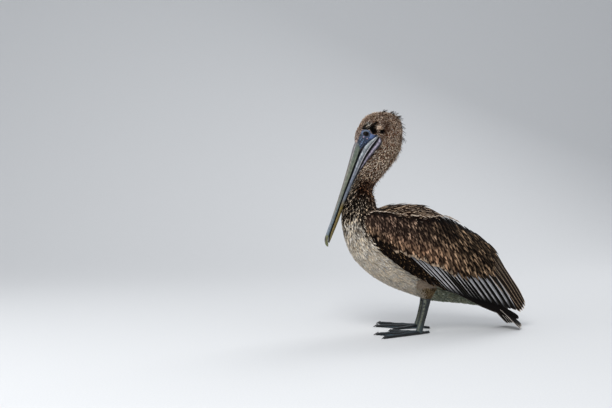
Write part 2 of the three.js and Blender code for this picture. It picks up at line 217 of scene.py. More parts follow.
def capped(rows, columns):
    """Faces of a tube of rings: its quads, with a fan to one point at each end. The two end points
    follow the grid, first ring's and then last ring's."""
    j = np.arange(columns)
    k = (j + 1) % columns
    first = np.stack([np.full(columns, rows * columns), k, j], -1)
    last_ring = (rows - 1) * columns
    last = np.stack([np.full(columns, rows * columns + 1), last_ring + j, last_ring + k], -1)
    return grid_faces(rows, columns), np.concatenate([first, last])


def tube_points(rings):
    """The grid's points in a row, with the middle of each end ring after them."""
    return np.concatenate([rings.reshape(-1, 3), rings[0].mean(0)[None], rings[-1].mean(0)[None]])


def round_grid(rows, columns, last=1.0):
    """Shares 0 to last along a tube and turns round it, for each point of its grid."""
    shares, turns = np.linspace(0, last, rows), np.linspace(0, 2 * math.pi, columns, False)
    return np.meshgrid(shares, turns, indexing="ij")


def tube_piece(name, tubes, material):
    """One mesh of closed tubes in one material. Each tube is the grid of its points, its tones (a grid,
    or one for all) and 1, or -1 where the grid runs the other way round."""
    points, tones, faces, start = [], [], [], 0
    for rings, paint, way in tubes:
        points.append(tube_points(rings))
        tones.append(tube_points(np.broadcast_to(paint, rings.shape)))
        faces += [part[:, ::way] + start for part in capped(*rings.shape[:2])]
        start += len(points[-1])
    piece = make_mesh(name, np.concatenate(points), faces, colours={"tone": np.concatenate(tones)})
    piece.data.materials.append(material)
    return piece


def side_view(points):
    """The x and the height of points, counted from the floor point between the feet."""
    return (points - STAND)[..., [0, 2]]


# The bare patch round the eye: over the eye, down the bill's root, along the mouth to the gape.
BARE_CORNERS = np.array([
    [0.1665, 0.5565], [0.1735, 0.5400], [0.1795, 0.5180], [0.1800, 0.5080], [0.1680, 0.5030],
    [0.1225, 0.5405], [0.1265, 0.5440], [0.1470, 0.5560],
])
# A round tongue of black feathers runs into the patch behind the eye: middle x, z and radius.
TONGUE = (0.1335, 0.5535, 0.0105)


def beyond(points, start, end):
    """Distance in side view from the line through two corners, above 0 on its right-hand side."""
    side = side_view(points) - start
    edge = (end - start) / np.linalg.norm(end - start)
    return side[..., 0] * edge[1] - side[..., 1] * edge[0]


def bareness(points):
    """1 on the bare skin of the face and 0 on the feathers, by the distance from the patch's edges in
    side view, a little ragged."""
    inside = np.linalg.norm(side_view(points) - TONGUE[:2], axis=-1) - TONGUE[2]
    for start, end in zip(BARE_CORNERS, np.roll(BARE_CORNERS, -1, 0)):
        inside = np.minimum(inside, beyond(points, start, end))
    return smooth(-0.0006, 0.0012, inside + 0.0008 * ripple(points, 900, 4))


def coat_depth(t):
    """How deep the skin lies under the outline: least on the face, most on breast and back."""
    head = smooth(0.72, 0.62, t)
    face = smooth(0.9, 0.8, t)
    return 0.0004 + 0.0014 * face + 0.0032 * head


def lid_radius(points):
    """Distance from the eye's centre in side view, with the opening drawn wider than high and tilted
    up towards the bill."""
    side = side_view(points) - EYE[[0, 2]]
    tilt = math.radians(14)
    wide = side[..., 0] * math.cos(tilt) + side[..., 1] * math.sin(tilt)
    high = side[..., 1] * math.cos(tilt) - side[..., 0] * math.sin(tilt)
    return np.hypot(wide / 1.18, high / 0.90)


def skin_relief(points, t):
    """How far the skin rises: a rim of lid round each eye, a pit under it, and fine wrinkles that run
    from the eye to the gape and the bill on the bare patch."""
    radius = lid_radius(points)
    lidded = np.abs((points - STAND)[..., 2] - EYE[2]) / np.maximum(radius, 1e-4)
    rim = (0.0010 + 0.0014 * np.clip(lidded, 0, 1)) * dip(radius, 0.0067, 0.0012)
    second = 0.0005 * dip(radius, 0.0092, 0.0008)
    pit = -0.0045 * smooth(0.0060, 0.0050, radius)
    creases = 0.00022 * ripple(points, 2600, 3) * smooth(0.008, 0.011, radius)
    on_face = bareness(points) * (t > 0.8)
    return np.where(t > 0.8, rim + second + pit, 0) + creases * on_face


# Tones of the plumage, each the dark middle and the pale fringe of a feather.
BROWN = tone(74, 55, 43), tone(160, 136, 114)
CREAM = tone(212, 200, 182), tone(248, 240, 226)
# Painted shade tinged with a painted green reflection, on the pale feathers behind the legs.
SHADED_VENT = tone(112, 119, 101), tone(176, 180, 160)
SPECKLED = tone(10, 6, 4), tone(240, 218, 192)
SOOTY = tone(22, 13, 9), tone(156, 112, 84)
NAPE = tone(74, 50, 38), tone(206, 164, 134)
FAWN = tone(138, 99, 78), tone(255, 238, 214)
CROWN = tone(116, 80, 62), tone(255, 234, 210)
COCOA = tone(66, 44, 33), tone(136, 102, 80)
BROW = tone(112, 86, 78), tone(230, 212, 196)
MASK = tone(8, 6, 6), tone(26, 21, 19)
DOTTED = tone(244, 228, 210), tone(255, 248, 238)
BLOTCH = tone(240, 208, 180), tone(255, 244, 228)
MANTLE = tone(36, 22, 15), tone(255, 226, 196)
# Black spots that make up the mask, in pairs: x, height and radius of each.
MASK_SPOTS = (
    (0.1570, 0.5610, 0.0080), (0.1435, 0.5635, 0.0070), (0.1345, 0.5555, 0.0105), (0.1295, 0.5655, 0.0065),
    (0.1265, 0.5725, 0.0060), (0.1105, 0.5520, 0.0066), (0.1440, 0.5715, 0.0085), (0.1530, 0.5655, 0.0085),
    (0.1480, 0.5640, 0.0060), (0.1350, 0.5500, 0.0060),
)
# Tones of the bare skin: the face's ground and its stains, the lids, the painted shade along the line
# of the mouth, and what shows under the feathers of thigh and wing.
FACE = tone(44, 60, 98)
FACE_DARK = tone(10, 15, 27)
FACE_CLEAR = tone(96, 122, 174)
FACE_GREY = tone(88, 102, 120)
FACE_TEAL = tone(22, 52, 60)
FACE_FLECK = tone(130, 158, 200)
FACE_FLUSH = tone(196, 164, 178)
LID = tone(124, 136, 160)
LID_EDGE = tone(8, 8, 12)
MOUTH_SHADE = tone(8, 12, 24)
THIGH_SKIN = tone(112, 96, 78)
ARM_SKIN = tone(30, 22, 17)


def spot(points, x, z, radius, soft=0.5):
    """1 within a round spot in side view, fading out past its radius by the share soft."""
    away = np.linalg.norm(side_view(points) - np.array([x, z]), axis=-1)
    return smooth(radius * (1 + soft), radius * (1 - soft), away)


def plumage(points, t, turn):
    """The dark and the pale tone of the plumage at a place on the body: brown back, cream breast and
    belly with painted greenish shade behind the legs, speckled crop, sooty lower neck, fawn upper neck,
    brown crown and black mask."""
    x, _, z = np.moveaxis(points - STAND, -1, 0)
    above = np.cos(turn)
    drift = ripple(points, 55, 8)
    belly_side = smooth(-0.15, -0.5, above + 0.12 * drift)
    breast = smooth(0.282, 0.236, z + 0.012 * drift) * smooth(0.62, 0.2, above) * (t < 0.5)
    masked = [spot(points, *place, 0.3) for place in MASK_SPOTS]
    dots = smooth(0.15, 0.3, ripple(points, 1000, 9))
    layers = [
        (MANTLE, smooth(0.2, 0.5, above) * smooth(0.47, 0.43, t)),
        (SPECKLED, smooth(0.30, 0.36, t) * smooth(0.58, 0.50, t) * smooth(0.75, 0.2, above)),
        (CREAM, np.maximum(belly_side * (t < 0.40), breast)),
        # Painted shade tinged with a painted green reflection, under the tail behind the legs.
        (SHADED_VENT, smooth(-0.002, -0.030, x) * smooth(0.4, 0.3, t) * smooth(0.3, -0.3, above)),
        (SOOTY, smooth(0.47, 0.50, t) * smooth(0.565, 0.530, t) * smooth(-0.75, -0.45, above)),
        (NAPE, smooth(0.45, 0.48, t) * smooth(0.59, 0.56, t) * smooth(0.1, 0.6, above)),
        (FAWN, smooth(0.535, 0.580, t)),
        (CROWN, smooth(0.70, 0.79, t)),
        (CROWN, smooth(0.58, 0.64, t) * smooth(0.55, 0.9, above)),
        (COCOA, 0.8 * spot(points, 0.099, 0.555, 0.0095) + 0.8 * spot(points, 0.101, 0.570, 0.0080)),
        (BROW, smooth(0.915, 0.945, t)),
        (MASK, 0.7 * spot(points, 0.0935, 0.5725, 0.0042)),
        *((MASK, first + second) for first, second in zip(masked[::2], masked[1::2])),
        (DOTTED, spot(points, 0.1475, 0.5740, 0.0085, 0.3) * dots),
        (BLOTCH, spot(points, 0.1195, 0.5645, 0.0072, 0.35)),
    ]
    coats = [(pair, np.clip(share, 0, 1)) for pair, share in layers]
    return [layered(BROWN[k], *((pair[k], share) for pair, share in coats)) for k in (0, 1)]


def skin_tone(points, t, turn):
    """The skin under the coat has the coat's own tones; the bare patch is slate blue, mottled and darker
    in front of the eye, the lids are paler, and painted shade runs along the line of the mouth."""
    x, _, z = np.moveaxis(points - STAND, -1, 0)
    coat = blend(*plumage(points, t, turn), 0.3 + 0.15 * ripple(points, 900, 5))
    clear = spot(points, 0.1385, 0.5370, 0.0075)
    over_eye = spot(points, 0.1540, 0.5550, 0.0070)
    front = smooth(0.148, 0.166, x) * smooth(0.556, 0.540, z)
    stains = smooth(0.0, 0.5, ripple(points, 1000, 14))
    mottle = smooth(0.0, 0.2, ripple(points, 560, 12) * ripple(points, 640, 17))
    flecks = smooth(0.10, 0.30, ripple(points, 700, 13) * ripple(points, 800, 18))
    flush = spot(points, 0.1620, 0.5365, 0.0017) + spot(points, 0.1523, 0.5324, 0.0015)
    radius = lid_radius(points) + 0.0004 * ripple(points, 1200, 6)
    patch = layered(
        FACE,
        (FACE_GREY, 0.7 * over_eye),
        (FACE_CLEAR, clear),
        (FACE_DARK, 0.55 * front),
        (FACE_TEAL, 0.7 * stains * (1 - clear)),
        (FACE_DARK, mottle * 0.85 * (1 - 0.8 * clear) * (1 - 0.6 * over_eye)),
        (FACE_FLECK, 0.7 * flecks * (1 - clear)),
        (FACE_FLUSH, 0.8 * np.clip(flush, 0, 1)),
        (LID_EDGE, smooth(0.0078, 0.0066, radius)),
        (LID, 0.45 * smooth(0.0008, 0.0, np.abs(radius - 0.0088))),
        # Painted shade along the mouth's line to the gape.
        (MOUTH_SHADE, smooth(0.0026, 0.0012, beyond(points, BARE_CORNERS[4], BARE_CORNERS[5]))),
    )
    return blend(coat, patch, bareness(points) * (t > 0.8))


# The folded wing: crescent ribs from the wrist back to the wingtip, on the left side. Each rib: upper
# edge x, y, z, lower edge x, y, z and swell of its outer face.
WING_RIBS = {
    "wrist": (0.176, 0.047, 0.318, 0.172, 0.056, 0.288, 0.004),
    "hand": (0.150, 0.050, 0.337, 0.152, 0.067, 0.252, 0.013),
    "coverts": (0.104, 0.054, 0.335, 0.120, 0.076, 0.220, 0.020),
    "forearm": (0.052, 0.057, 0.328, 0.075, 0.081, 0.181, 0.022),
    "elbow": (-0.004, 0.057, 0.324, 0.025, 0.081, 0.151, 0.025),
    "tertials": (-0.064, 0.038, 0.325, -0.025, 0.077, 0.126, 0.031),
    "secondaries": (-0.126, 0.010, 0.300, -0.080, 0.069, 0.103, 0.037),
    "over_rump": (-0.186, 0.003, 0.264, -0.140, 0.058, 0.087, 0.033),
    "fingers": (-0.230, 0.002, 0.222, -0.190, 0.046, 0.068, 0.024),
    "primaries": (-0.264, 0.002, 0.165, -0.235, 0.036, 0.050, 0.015),
    "hind_primaries": (-0.296, 0.003, 0.112, -0.268, 0.026, 0.038, 0.008),
    "wing_tip": (-0.319, 0.006, 0.066, -0.294, 0.018, 0.031, 0.003),
}
# The way the folded wing runs, from wrist to tip.
WING_LIE = np.array([-0.89, 0, -0.46])
# Side view of the line where the brown coverts end and the long feathers show, front to rear.
COVERT_EDGE = np.array([
    [0.190, 0.285], [0.155, 0.277], [0.120, 0.252], [0.080, 0.235], [0.012, 0.206], [-0.024, 0.192],
    [-0.076, 0.162], [-0.128, 0.141], [-0.174, 0.142], [-0.214, 0.158], [-0.234, 0.192], [-0.245, 0.230],
])


def wing_surface(w, v, depth=0.0):
    """Points on the left wing's outer face: w runs from wrist to tip, v from the upper edge to the
    lower, and the face bows out by the rib's swell times sin(pi v) to the power 0.8."""
    rib = rib_at(WING_RIBS, w)
    upper, chord = rib[..., 0:3], rib[..., 3:6] - rib[..., 0:3]
    out = unit(np.cross(chord, WING_LIE))
    bow = rib[..., 6] * np.sin(math.pi * np.clip(v, 0, 1)) ** 0.8 - depth
    return upper + chord * np.asarray(v)[..., None] + out * bow[..., None] + STAND


def covert_line(x):
    """Height of the coverts' edge over the floor at x."""
    return np.interp(x, COVERT_EDGE[::-1, 0], COVERT_EDGE[::-1, 1])


def mirrored(points):
    """The same points on the bird's other side."""
    return (points - STAND) * [1, -1, 1] + STAND


# Each leg: x and y of its ankle and of its heel, and the degrees its foot is turned out.
LEGS = {
    "left": {"ankle": (-0.009, 0.048), "heel": (0.012, 0.048), "turn": -4},
    "right": {"ankle": (-0.034, -0.050), "heel": (-0.017, -0.054), "turn": 13},
}
ANKLE = 0.088
# Thigh: height over the ankle, radius fore and aft, radius across.
THIGH = np.array([
    [0.062, 0.040, 0.022], [0.044, 0.033, 0.020], [0.026, 0.022, 0.015],
    [0.014, 0.015, 0.011], [0.009, 0.0105, 0.0085],
])


def thigh_surface(leg):
    """The surface of one thigh: a runs from the belly down to the ankle, b round from the front."""

    def surface(a, b, depth=0.0):
        """Points of the thigh, depth under its outline."""
        at = np.clip(a, 0, 1) * (len(THIGH) - 1)
        over, deep, wide = (np.interp(at, np.arange(len(THIGH)), THIGH[:, k]) for k in range(3))
        x = leg["ankle"][0] + (deep - depth) * np.cos(b)
        y = leg["ankle"][1] + (wide - depth) * np.sin(b)
        return np.stack([x, y, ANKLE + over + 0 * a], -1) + STAND

    return surface


def add(tree, kind, inputs=(), **settings):
    """A shader node with its settings; each input is linked to a socket or given a value."""
    made = tree.nodes.new("ShaderNode" + kind)
    for key, value in settings.items():
        setattr(made, key, value)
    for key, value in dict(inputs).items():
        if isinstance(value, bpy.types.NodeSocket):
            tree.links.new(value, made.inputs[key])
        else:
            made.inputs[key].default_value = value
    return made


def new_material(name, **surface):
    """A material with its Principled shader, whose own sockets get the given constants."""
    material = bpy.data.materials.new(name)
    material.use_nodes = True
    tree = material.node_tree
    shader = tree.nodes["Principled BSDF"]
    for key, value in surface.items():
        shader.inputs[key.replace("_", " ")].default_value = value
    return material, tree, shader


def mixed(tree, first, second, factor, kind="MIX"):
    """The colour socket of a mix of two colours."""
    made = add(tree, "Mix", {0: factor, 6: first, 7: second}, data_type="RGBA", blend_type=kind)
    return made.outputs[2]


def maths(tree, operation, *values):
    """The output of a Math node."""
    return add(tree, "Math", dict(enumerate(values)), operation=operation).outputs[0]


def ramp(tree, value, low, high):
    """0 to 1 smoothly as value goes from low to high; low and high may be sockets."""
    made = add(tree, "MapRange", {0: value, 1: low, 2: high}, interpolation_type="SMOOTHSTEP")
    return made.outputs[0]


def noise(tree, fineness, detail):
    """Soft noise over the piece's own coordinates, with fineness waves to the metre."""
    place = add(tree, "TexCoord").outputs["Object"]
    return add(tree, "TexNoise", {"Vector": place, "Scale": fineness, "Detail": detail}).outputs[0]


def attribute(tree, key, kind="Color"):
    """The socket of one of the mesh's own attributes: a Color, or a number's Fac."""
    return add(tree, "Attribute", attribute_name=key).outputs[kind]


def dress(tree, shader, paint, height, strength, distance):
    """Links the colour to the shader, and the height as a bump so strong and so many metres high."""
    tree.links.new(paint, shader.inputs["Base Color"])
    bump = add(tree, "Bump", {"Height": height, "Strength": strength, "Distance": distance})
    tree.links.new(bump.outputs[0], shader.inputs["Normal"])


def living_material(name, grain, relief, **surface):
    """Bare skin or horn: the mesh's own tone, clouded by soft noise, flecked by fine noise, with pores
    and wrinkles as bump. grain is the noise's fineness per metre and relief the bump's height."""
    material, tree, shader = new_material(name, **surface)
    fleck = noise(tree, grain, 3)
    place = add(tree, "TexCoord").outputs["Object"]
    pores = add(tree, "TexVoronoi", {"Vector": place, "Scale": grain * 0.7}).outputs[0]
    darker = maths(tree, "MULTIPLY", ramp(tree, noise(tree, grain * 0.18, 4), 0.62, 0.38), 0.55)
    lighter = maths(tree, "MULTIPLY", ramp(tree, fleck, 0.55, 0.75), 0.16)
    shaded = mixed(tree, attribute(tree, "tone"), (0.35, 0.33, 0.33, 1), darker, "MULTIPLY")
    shaded = mixed(tree, shaded, (0.75, 0.76, 0.76, 1), lighter)
    dress(tree, shader, shaded, maths(tree, "ADD", fleck, pores), 0.6, relief)
    return material


grid_t, grid_turn = round_grid(rows=400, columns=220)
# Rows lie closer together on the head than on the trunk.
grid_t = np.interp(grid_t, [0, 0.30, 0.42, 1], [0, 0.58, 0.74, 1])
ground, outward, _, _ = tangents(body_surface, grid_t, grid_turn, coat_depth(grid_t))
body = ground + outward * skin_relief(ground, grid_t)[..., None]
# How deep the thighs' skin lies under their outline.
THIGH_DEPTH = 0.002
thigh_grid = round_grid(rows=24, columns=32)
thighs = [thigh_surface(leg)(*thigh_grid, THIGH_DEPTH) for leg in LEGS.values()]
# The arm in each wing: the outer face under the coverts, and back along the inner face, deeper by
# ARM_THICK.
ARM_THICK = 0.0025
arm_w, arm_v = np.meshgrid(np.linspace(0.01, 0.86, 60), np.linspace(0.03, 0.94, 30), indexing="ij")
arm_depth = np.interp(arm_w, [0, 0.12, 0.5, 0.86], [0.0070, 0.0120, 0.0125, 0.0090])
outer = wing_surface(arm_w, arm_v, arm_depth)
inner = wing_surface(arm_w[:, ::-1], arm_v[:, ::-1], arm_depth[:, ::-1] + ARM_THICK)
arm = np.concatenate([outer, inner], 1)
skin = tube_piece(
    "skin",
    [
        (body, skin_tone(ground, grid_t, grid_turn), -1),
        *((thigh, THIGH_SKIN, -1) for thigh in thighs),
        (arm, ARM_SKIN, 1),
        (mirrored(arm), ARM_SKIN, -1),
    ],
    living_material("bare_skin", grain=1400, relief=0.00035, Roughness=0.48, Specular_IOR_Level=0.4),
)
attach(skin, "root")
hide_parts("trunk", "neck_lower", "neck_upper", "head", "thigh_left", "thigh_right")

# ---- Eyes ----
# Each eye is a dark wet ball set under the lids: a brown iris with fine rays round a black pupil, and
# a clear cornea over it.
EYE_RADIUS = 0.007
# The cornea's bulge at the outer pole, as a share of the radius.
CORNEA = 0.045
# Each side, and which way its Y runs.
SIDES = {"left": 1, "right": -1}

poles, turns = np.linspace(0.02, math.pi - 0.02, 96), np.linspace(0, 2 * math.pi, 72, False)
polar, around = np.meshgrid(poles, turns, indexing="ij")
# The ball is a stack of rings about the Y axis, from the outer pole inwards.
reach = EYE_RADIUS * (1 + CORNEA * np.exp(-((polar / 0.55) ** 2)))
ball = np.stack([np.sin(polar) * np.cos(around), np.cos(polar), np.sin(polar) * np.sin(around)], -1)
ball = ball * reach[..., None]
rays = 0.5 + 0.5 * np.sin(around * 36 + 3 * np.sin(polar * 40)) * np.sin(around * 11 + 1)
iris = layered(
    tone(34, 21, 13),
    (tone(13, 8, 6), 0.35 + 0.5 * rays * smooth(0.3, 0.8, polar)),
    (tone(3, 3, 4), smooth(0.56, 0.50, polar)),
    (tone(9, 8, 9), smooth(0.90, 1.0, polar)),
)
eye_material, tree, shader = new_material(
    "wet_eye", Roughness=0.4, Coat_Weight=0.16, Coat_Roughness=0.02, Specular_IOR_Level=0.05
)
fibres = maths(tree, "MULTIPLY", ramp(tree, noise(tree, 2600.0, 2), 0.4, 0.65), 0.45)
paint = mixed(tree, attribute(tree, "tone"), (0.3, 0.26, 0.24, 1), fibres, "MULTIPLY")
tree.links.new(paint, shader.inputs["Base Color"])
for side, hand in SIDES.items():
    placed = ball * [1, hand, 1] + STAND + EYE * [1, hand, 1]
    eye = tube_piece("eyeball_" + side, [(placed, iris, hand)], eye_material)
    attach(eye, "root")
    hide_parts("eye_" + side)

# ---- Upper bill ----
# A long flattened horn sheath: a ridge band down its middle between two grooves, plain sides and a
# hooked nail at the tip. s counts from the forehead along the bill, h across it.
BILL_BASE = np.array([0.181, 0, 0.524])
BILL_FORWARD = np.array([0.274, 0, -0.9617])
BILL_RISE = np.array([0.9617, 0, 0.274])
LEFT = np.array([0, 1, 0])
# Each rib: s, ridge's h, mouth's h, half width.
UPPER_BILL = {
    "root": (-0.005, -0.002, -0.017, 0.014),
    "base": (0.012, 0.0006, -0.0185, 0.0155),
    "shoulder": (0.040, 0.0006, -0.0173, 0.0145),
    "third": (0.090, 0.0005, -0.0126, 0.0128),
    "middle": (0.150, 0.0016, -0.0066, 0.012),
    "spread": (0.215, 0.0042, -0.0022, 0.0128),
    "taper": (0.255, 0.0072, 0.0008, 0.0114),
    "nail": (0.276, 0.0086, 0.0004, 0.0085),
    "hook": (0.289, 0.004, -0.005, 0.0046),
    "tip": (0.295, -0.002, -0.0065, 0.002),
}


def bill_rings(table, rows, columns, roundness=0.85):
    """Rings of a bill part with, for each point, its s, its share of the way down from the top edge,
    its turn from there (the same on both sides), its outward way and its distance down."""
    at, turn = round_grid(rows, columns)
    rib = rib_at(table, at)
    up = (rib[..., 1] - rib[..., 2]) / 2 * boxed(np.cos(turn), roundness)
    out = rib[..., 3] * boxed(np.sin(turn), roundness)
    height = (rib[..., 1] + rib[..., 2]) / 2 + up
    points = STAND + BILL_BASE + rib[..., 0:1] * BILL_FORWARD + height[..., None] * BILL_RISE
    points = points + out[..., None] * LEFT
    away = unit(up[..., None] * BILL_RISE + out[..., None] * LEFT)
    down = (1 - boxed(np.cos(turn), roundness)) / 2
    fold = np.minimum(turn, 2 * math.pi - turn)
    return points, rib[..., 0], down, fold, away, down * (rib[..., 1] - rib[..., 2])


def streaks(s, fold, seed):
    """Long fine streaks down the horn: seven waves across the fold that wander with s."""
    waves = np.random.default_rng(seed)
    total = 0 * s
    for _ in range(7):
        across, wander, start = waves.integers(9, 60), waves.uniform(-60, 60), waves.uniform(0, 6)
        total = total + np.sin(fold * across + s * wander + start)
    return total / 4


points, s, down, fold, away, _ = bill_rings(UPPER_BILL, rows=260, columns=96)
groove = 0.92 - 0.10 * smooth(0.02, 0.2, s) - 0.25 * smooth(0.24, 0.27, s)
grooved = smooth(-0.004, 0.006, s) * smooth(0.272, 0.262, s)
relief = -0.0007 * dip(fold, groove, 0.09) * grooved + 0.0003 * dip(fold, 2.15, 0.12)
relief = relief - 0.0006 * dip(s, 0.266, 0.0016) * smooth(1.5, 1.1, fold)
relief = relief + 0.00012 * streaks(s, fold, 31) * smooth(0.295, 0.25, s)
ridge = layered(
    tone(116, 112, 118),
    (tone(112, 108, 96), smooth(0.02, 0.08, s)),
    (tone(104, 118, 134), smooth(0.19, 0.25, s)),
)
sides = layered(
    tone(84, 98, 84),
    (tone(104, 110, 92), smooth(0.03, 0.10, s)),
    (tone(88, 106, 118), smooth(0.13, 0.22, s)),
)
low_line = dip(fold + 0.04 * np.sin(s * 70), 1.36, 0.07) * smooth(0.25, 0.20, s)
high_line = dip(fold + 0.03 * np.sin(s * 90), 0.42, 0.08) * smooth(0.23, 0.16, s)
horn = layered(
    sides,
    (ridge, smooth(groove + 0.05, groove - 0.05, fold)),
    # Painted shade in each groove.
    (tone(20, 19, 20), 0.9 * dip(fold, groove, 0.08) * grooved),
    (tone(30, 32, 30), 0.75 * low_line),
    (tone(40, 38, 44), 0.60 * high_line),
    (tone(188, 186, 176), 0.50 * dip(fold, 0.66, 0.10) * grooved),
    # Painted shade along the lower edge, over the mouth's gap.
    (tone(24, 25, 28), 0.95 * smooth(0.80, 0.92, down) * smooth(0.285, 0.27, s)),
    (tone(150, 150, 132), 0.5 * dip(down, 0.66, 0.07) * smooth(0.0, 0.03, s)),
    (tone(50, 54, 70), 0.75 * dip(s, 0.004, 0.008) * smooth(0.6, 1.2, fold)),
    (tone(104, 104, 52), 0.9 * smooth(0.262, 0.270, s)),
    (tone(34, 24, 42), 0.95 * dip(s, 0.277, 0.006) * smooth(1.5, 0.7, fold)),
)
horn = np.clip(horn * (1 + 0.34 * streaks(s, fold, 32))[..., None], 0, 1)
horn_material = living_material(
    "bill_sheath",
    grain=900,
    relief=0.00018,
    Roughness=0.42,
    Specular_IOR_Level=0.5,
    Coat_Weight=0.15,
    Coat_Roughness=0.35,
)
upper_bill = tube_piece("upper_mandible", [(points + away * relief[..., None], horn, -1)], horn_material)
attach(upper_bill, "root")
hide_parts("bill_upper")

# ---- Lower bill ----
# Two horn blades that carry the pouch and meet near the tip. Near the gape a dark and a pale line run
# along their lower edge; the last third is olive yellow.
LOWER_BILL = {
    "gape": (-0.032, -0.050, -0.055, 0.023),
    "behind": (-0.020, -0.039, -0.054, 0.0255),
    "base": (0.002, -0.025, -0.0465, 0.024),
    "shoulder": (0.036, -0.0175, -0.0365, 0.0195),
    "third": (0.090, -0.0128, -0.0275, 0.014),
    "middle": (0.150, -0.0069, -0.0195, 0.0116),
    "spread": (0.215, -0.0025, -0.0143, 0.012),
    "taper": (0.258, 0.0005, -0.0095, 0.0104),
    "tip": (0.284, -0.003, -0.0065, 0.005),
}
points, s, down, fold, away, fallen = bill_rings(LOWER_BILL, rows=260, columns=96)
near = smooth(0.11, 0.04, s)
relief = -0.0006 * dip(down, 0.60, 0.04) * near + 0.0003 * dip(fold, 1.0, 0.2)
relief = relief - 0.0005 * dip(down, 0.84, 0.05) * near
relief = relief + 0.00012 * streaks(s, fold, 41)
points = points + away * relief[..., None]
blade = layered(
    tone(120, 131, 134),
    (tone(96, 104, 118), smooth(0.02, 0.10, s)),
    (tone(206, 208, 216), 0.7 * dip(fallen, 0.0040, 0.0011) * near),
    (tone(104, 86, 18), smooth(0.150, 0.185, s)),
    (tone(112, 102, 38), smooth(0.25, 0.28, s)),
    (tone(66, 70, 84), 0.7 * smooth(0.1, 0.6, ripple(points, 420, 43)) * near),
    # Painted shade along the top edge, in the mouth's gap.
    (tone(9, 12, 22), smooth(0.0030, 0.0018, fallen)),
    (tone(8, 8, 14), dip(down, 0.565, 0.055) * near),
    (tone(226, 222, 228), 0.95 * dip(down, 0.680, 0.055) * near),
    (tone(8, 8, 14), smooth(0.74, 0.79, down) * smooth(0.2, 0.12, s)),
    (tone(40, 34, 18), 0.8 * smooth(0.78, 0.92, down) * smooth(0.12, 0.2, s)),
)
blade = np.clip(blade * (1 + 0.40 * streaks(s, fold, 42))[..., None], 0, 1)
lower_bill = tube_piece("lower_mandible", [(points, blade, -1)], horn_material)
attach(lower_bill, "root")
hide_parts("bill_lower")

# ---- Pouch ----
# Slack lilac-grey skin drawn up under the lower bill, in folds that run along it, with painted shade
# in their hollows and a pale rim.
POUCH = {
    "back": (-0.030, -0.056, -0.064, 0.015),
    "behind": (-0.017, -0.052, -0.073, 0.019),
    "full": (0.008, -0.043, -0.0625, 0.0185),
    "fore": (0.038, -0.034, -0.0485, 0.015),
    "narrow": (0.080, -0.026, -0.032, 0.010),
    "end": (0.125, -0.020, -0.0234, 0.006),
}
points, s, down, fold, away, fallen = bill_rings(POUCH, rows=200, columns=160)
pleats = np.sin(fold * 17 + 2.2 * np.sin(s * 90) + 14 * s) + 0.5 * np.sin(fold * 31 - 40 * s)
points = points + away * (0.00045 * pleats * smooth(0.12, 0.05, s) * smooth(0.5, 1.1, fold))[..., None]
slack = layered(
    tone(114, 108, 124),
    # Painted shade in the folds' hollows, lighter on their crests.
    (tone(56, 50, 62), smooth(0.5, -0.9, pleats)),
    (tone(176, 168, 186), 0.9 * dip(down, 0.40, 0.11)),
    (tone(64, 58, 76), 0.7 * smooth(0.1, 0.6, ripple(points, 700, 44))),
    (tone(12, 11, 18), smooth(0.0044, 0.0032, fallen)),
    (tone(22, 17, 24), 0.95 * smooth(0.56, 0.72, down)),
)
pouch = tube_piece(
    "pouch_skin_folds",
    [(points, slack, -1)],
    living_material(
        "pouch_skin", grain=1100, relief=0.0003, Roughness=0.5, Specular_IOR_Level=0.4, Sheen_Weight=0.1
    ),
)
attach(pouch, "root")
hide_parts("pouch")

# ---- Shanks and feet ----
# Bare olive-grey shanks clad in small scales; each foot has four toes joined by one web, the toes with
# a row of broad plates on top, and a blunt dark claw at the end of each toe.
# Shank: share of the way down, radius fore and aft, radius across.
SHANK = np.array([
    [0, 0.0085, 0.0065], [0.06, 0.010, 0.0072], [0.12, 0.0106, 0.0076], [0.22, 0.0096, 0.0068],
    [0.36, 0.0086, 0.0056], [0.72, 0.0084, 0.0054], [0.9, 0.0092, 0.0064], [1, 0.0096, 0.007],
])
# Heights of the shank's upper joint and lower end, how far it reaches up into the thigh, and the
# height over which it leans to the heel.
SHANK_TOP = 0.0967
SHANK_IN_THIGH = 0.008
SHANK_FOOT = 0.004
SHANK_LEAN = 0.0834
# Toes, counted from the middle of the heel: reach, degrees outwards, radius.
TOES = {
    "outer": (0.1306, 26, 0.005),
    "middle": (0.128, 0, 0.0052),
    "inner": (0.0922, -33, 0.0048),
    "hind": (0.0384, -152, 0.004),
}
# Toe: share of its reach, width and height in radii.
TOE_TAPER = np.array([
    [0, 1.3, 1.2], [0.25, 1, 1], [0.55, 0.86, 0.82], [0.84, 0.78, 0.8], [0.92, 0.6, 0.62], [0.97, 0.3, 0.3],
])
# The length of one plate on a toe, and the web's thickness.
TOE_PLATE = 0.0036
WEB_THICK = 0.0022
# How far the web's edge sags between two toes, as a share of their reach.
WEB_SAGS = (0.30, 0.30, 0.42)
UP = np.array([0, 0, 1])


def scales(around, along):
    """Height 0 to 1 of small six-sided scales: the lowest of three crossed sets of grooves."""
    groove = 1.0
    for k in range(3):
        way = around * math.cos(k * math.pi / 3) + along * math.sin(k * math.pi / 3)
        groove = np.minimum(groove, np.abs(np.sin(math.pi * way)) ** 0.4)
    return groove


def table_at(table, share):
    """Each column of a table read at a share given by its first column."""
    return [np.interp(share, table[:, 0], table[:, k]) for k in range(1, table.shape[1])]


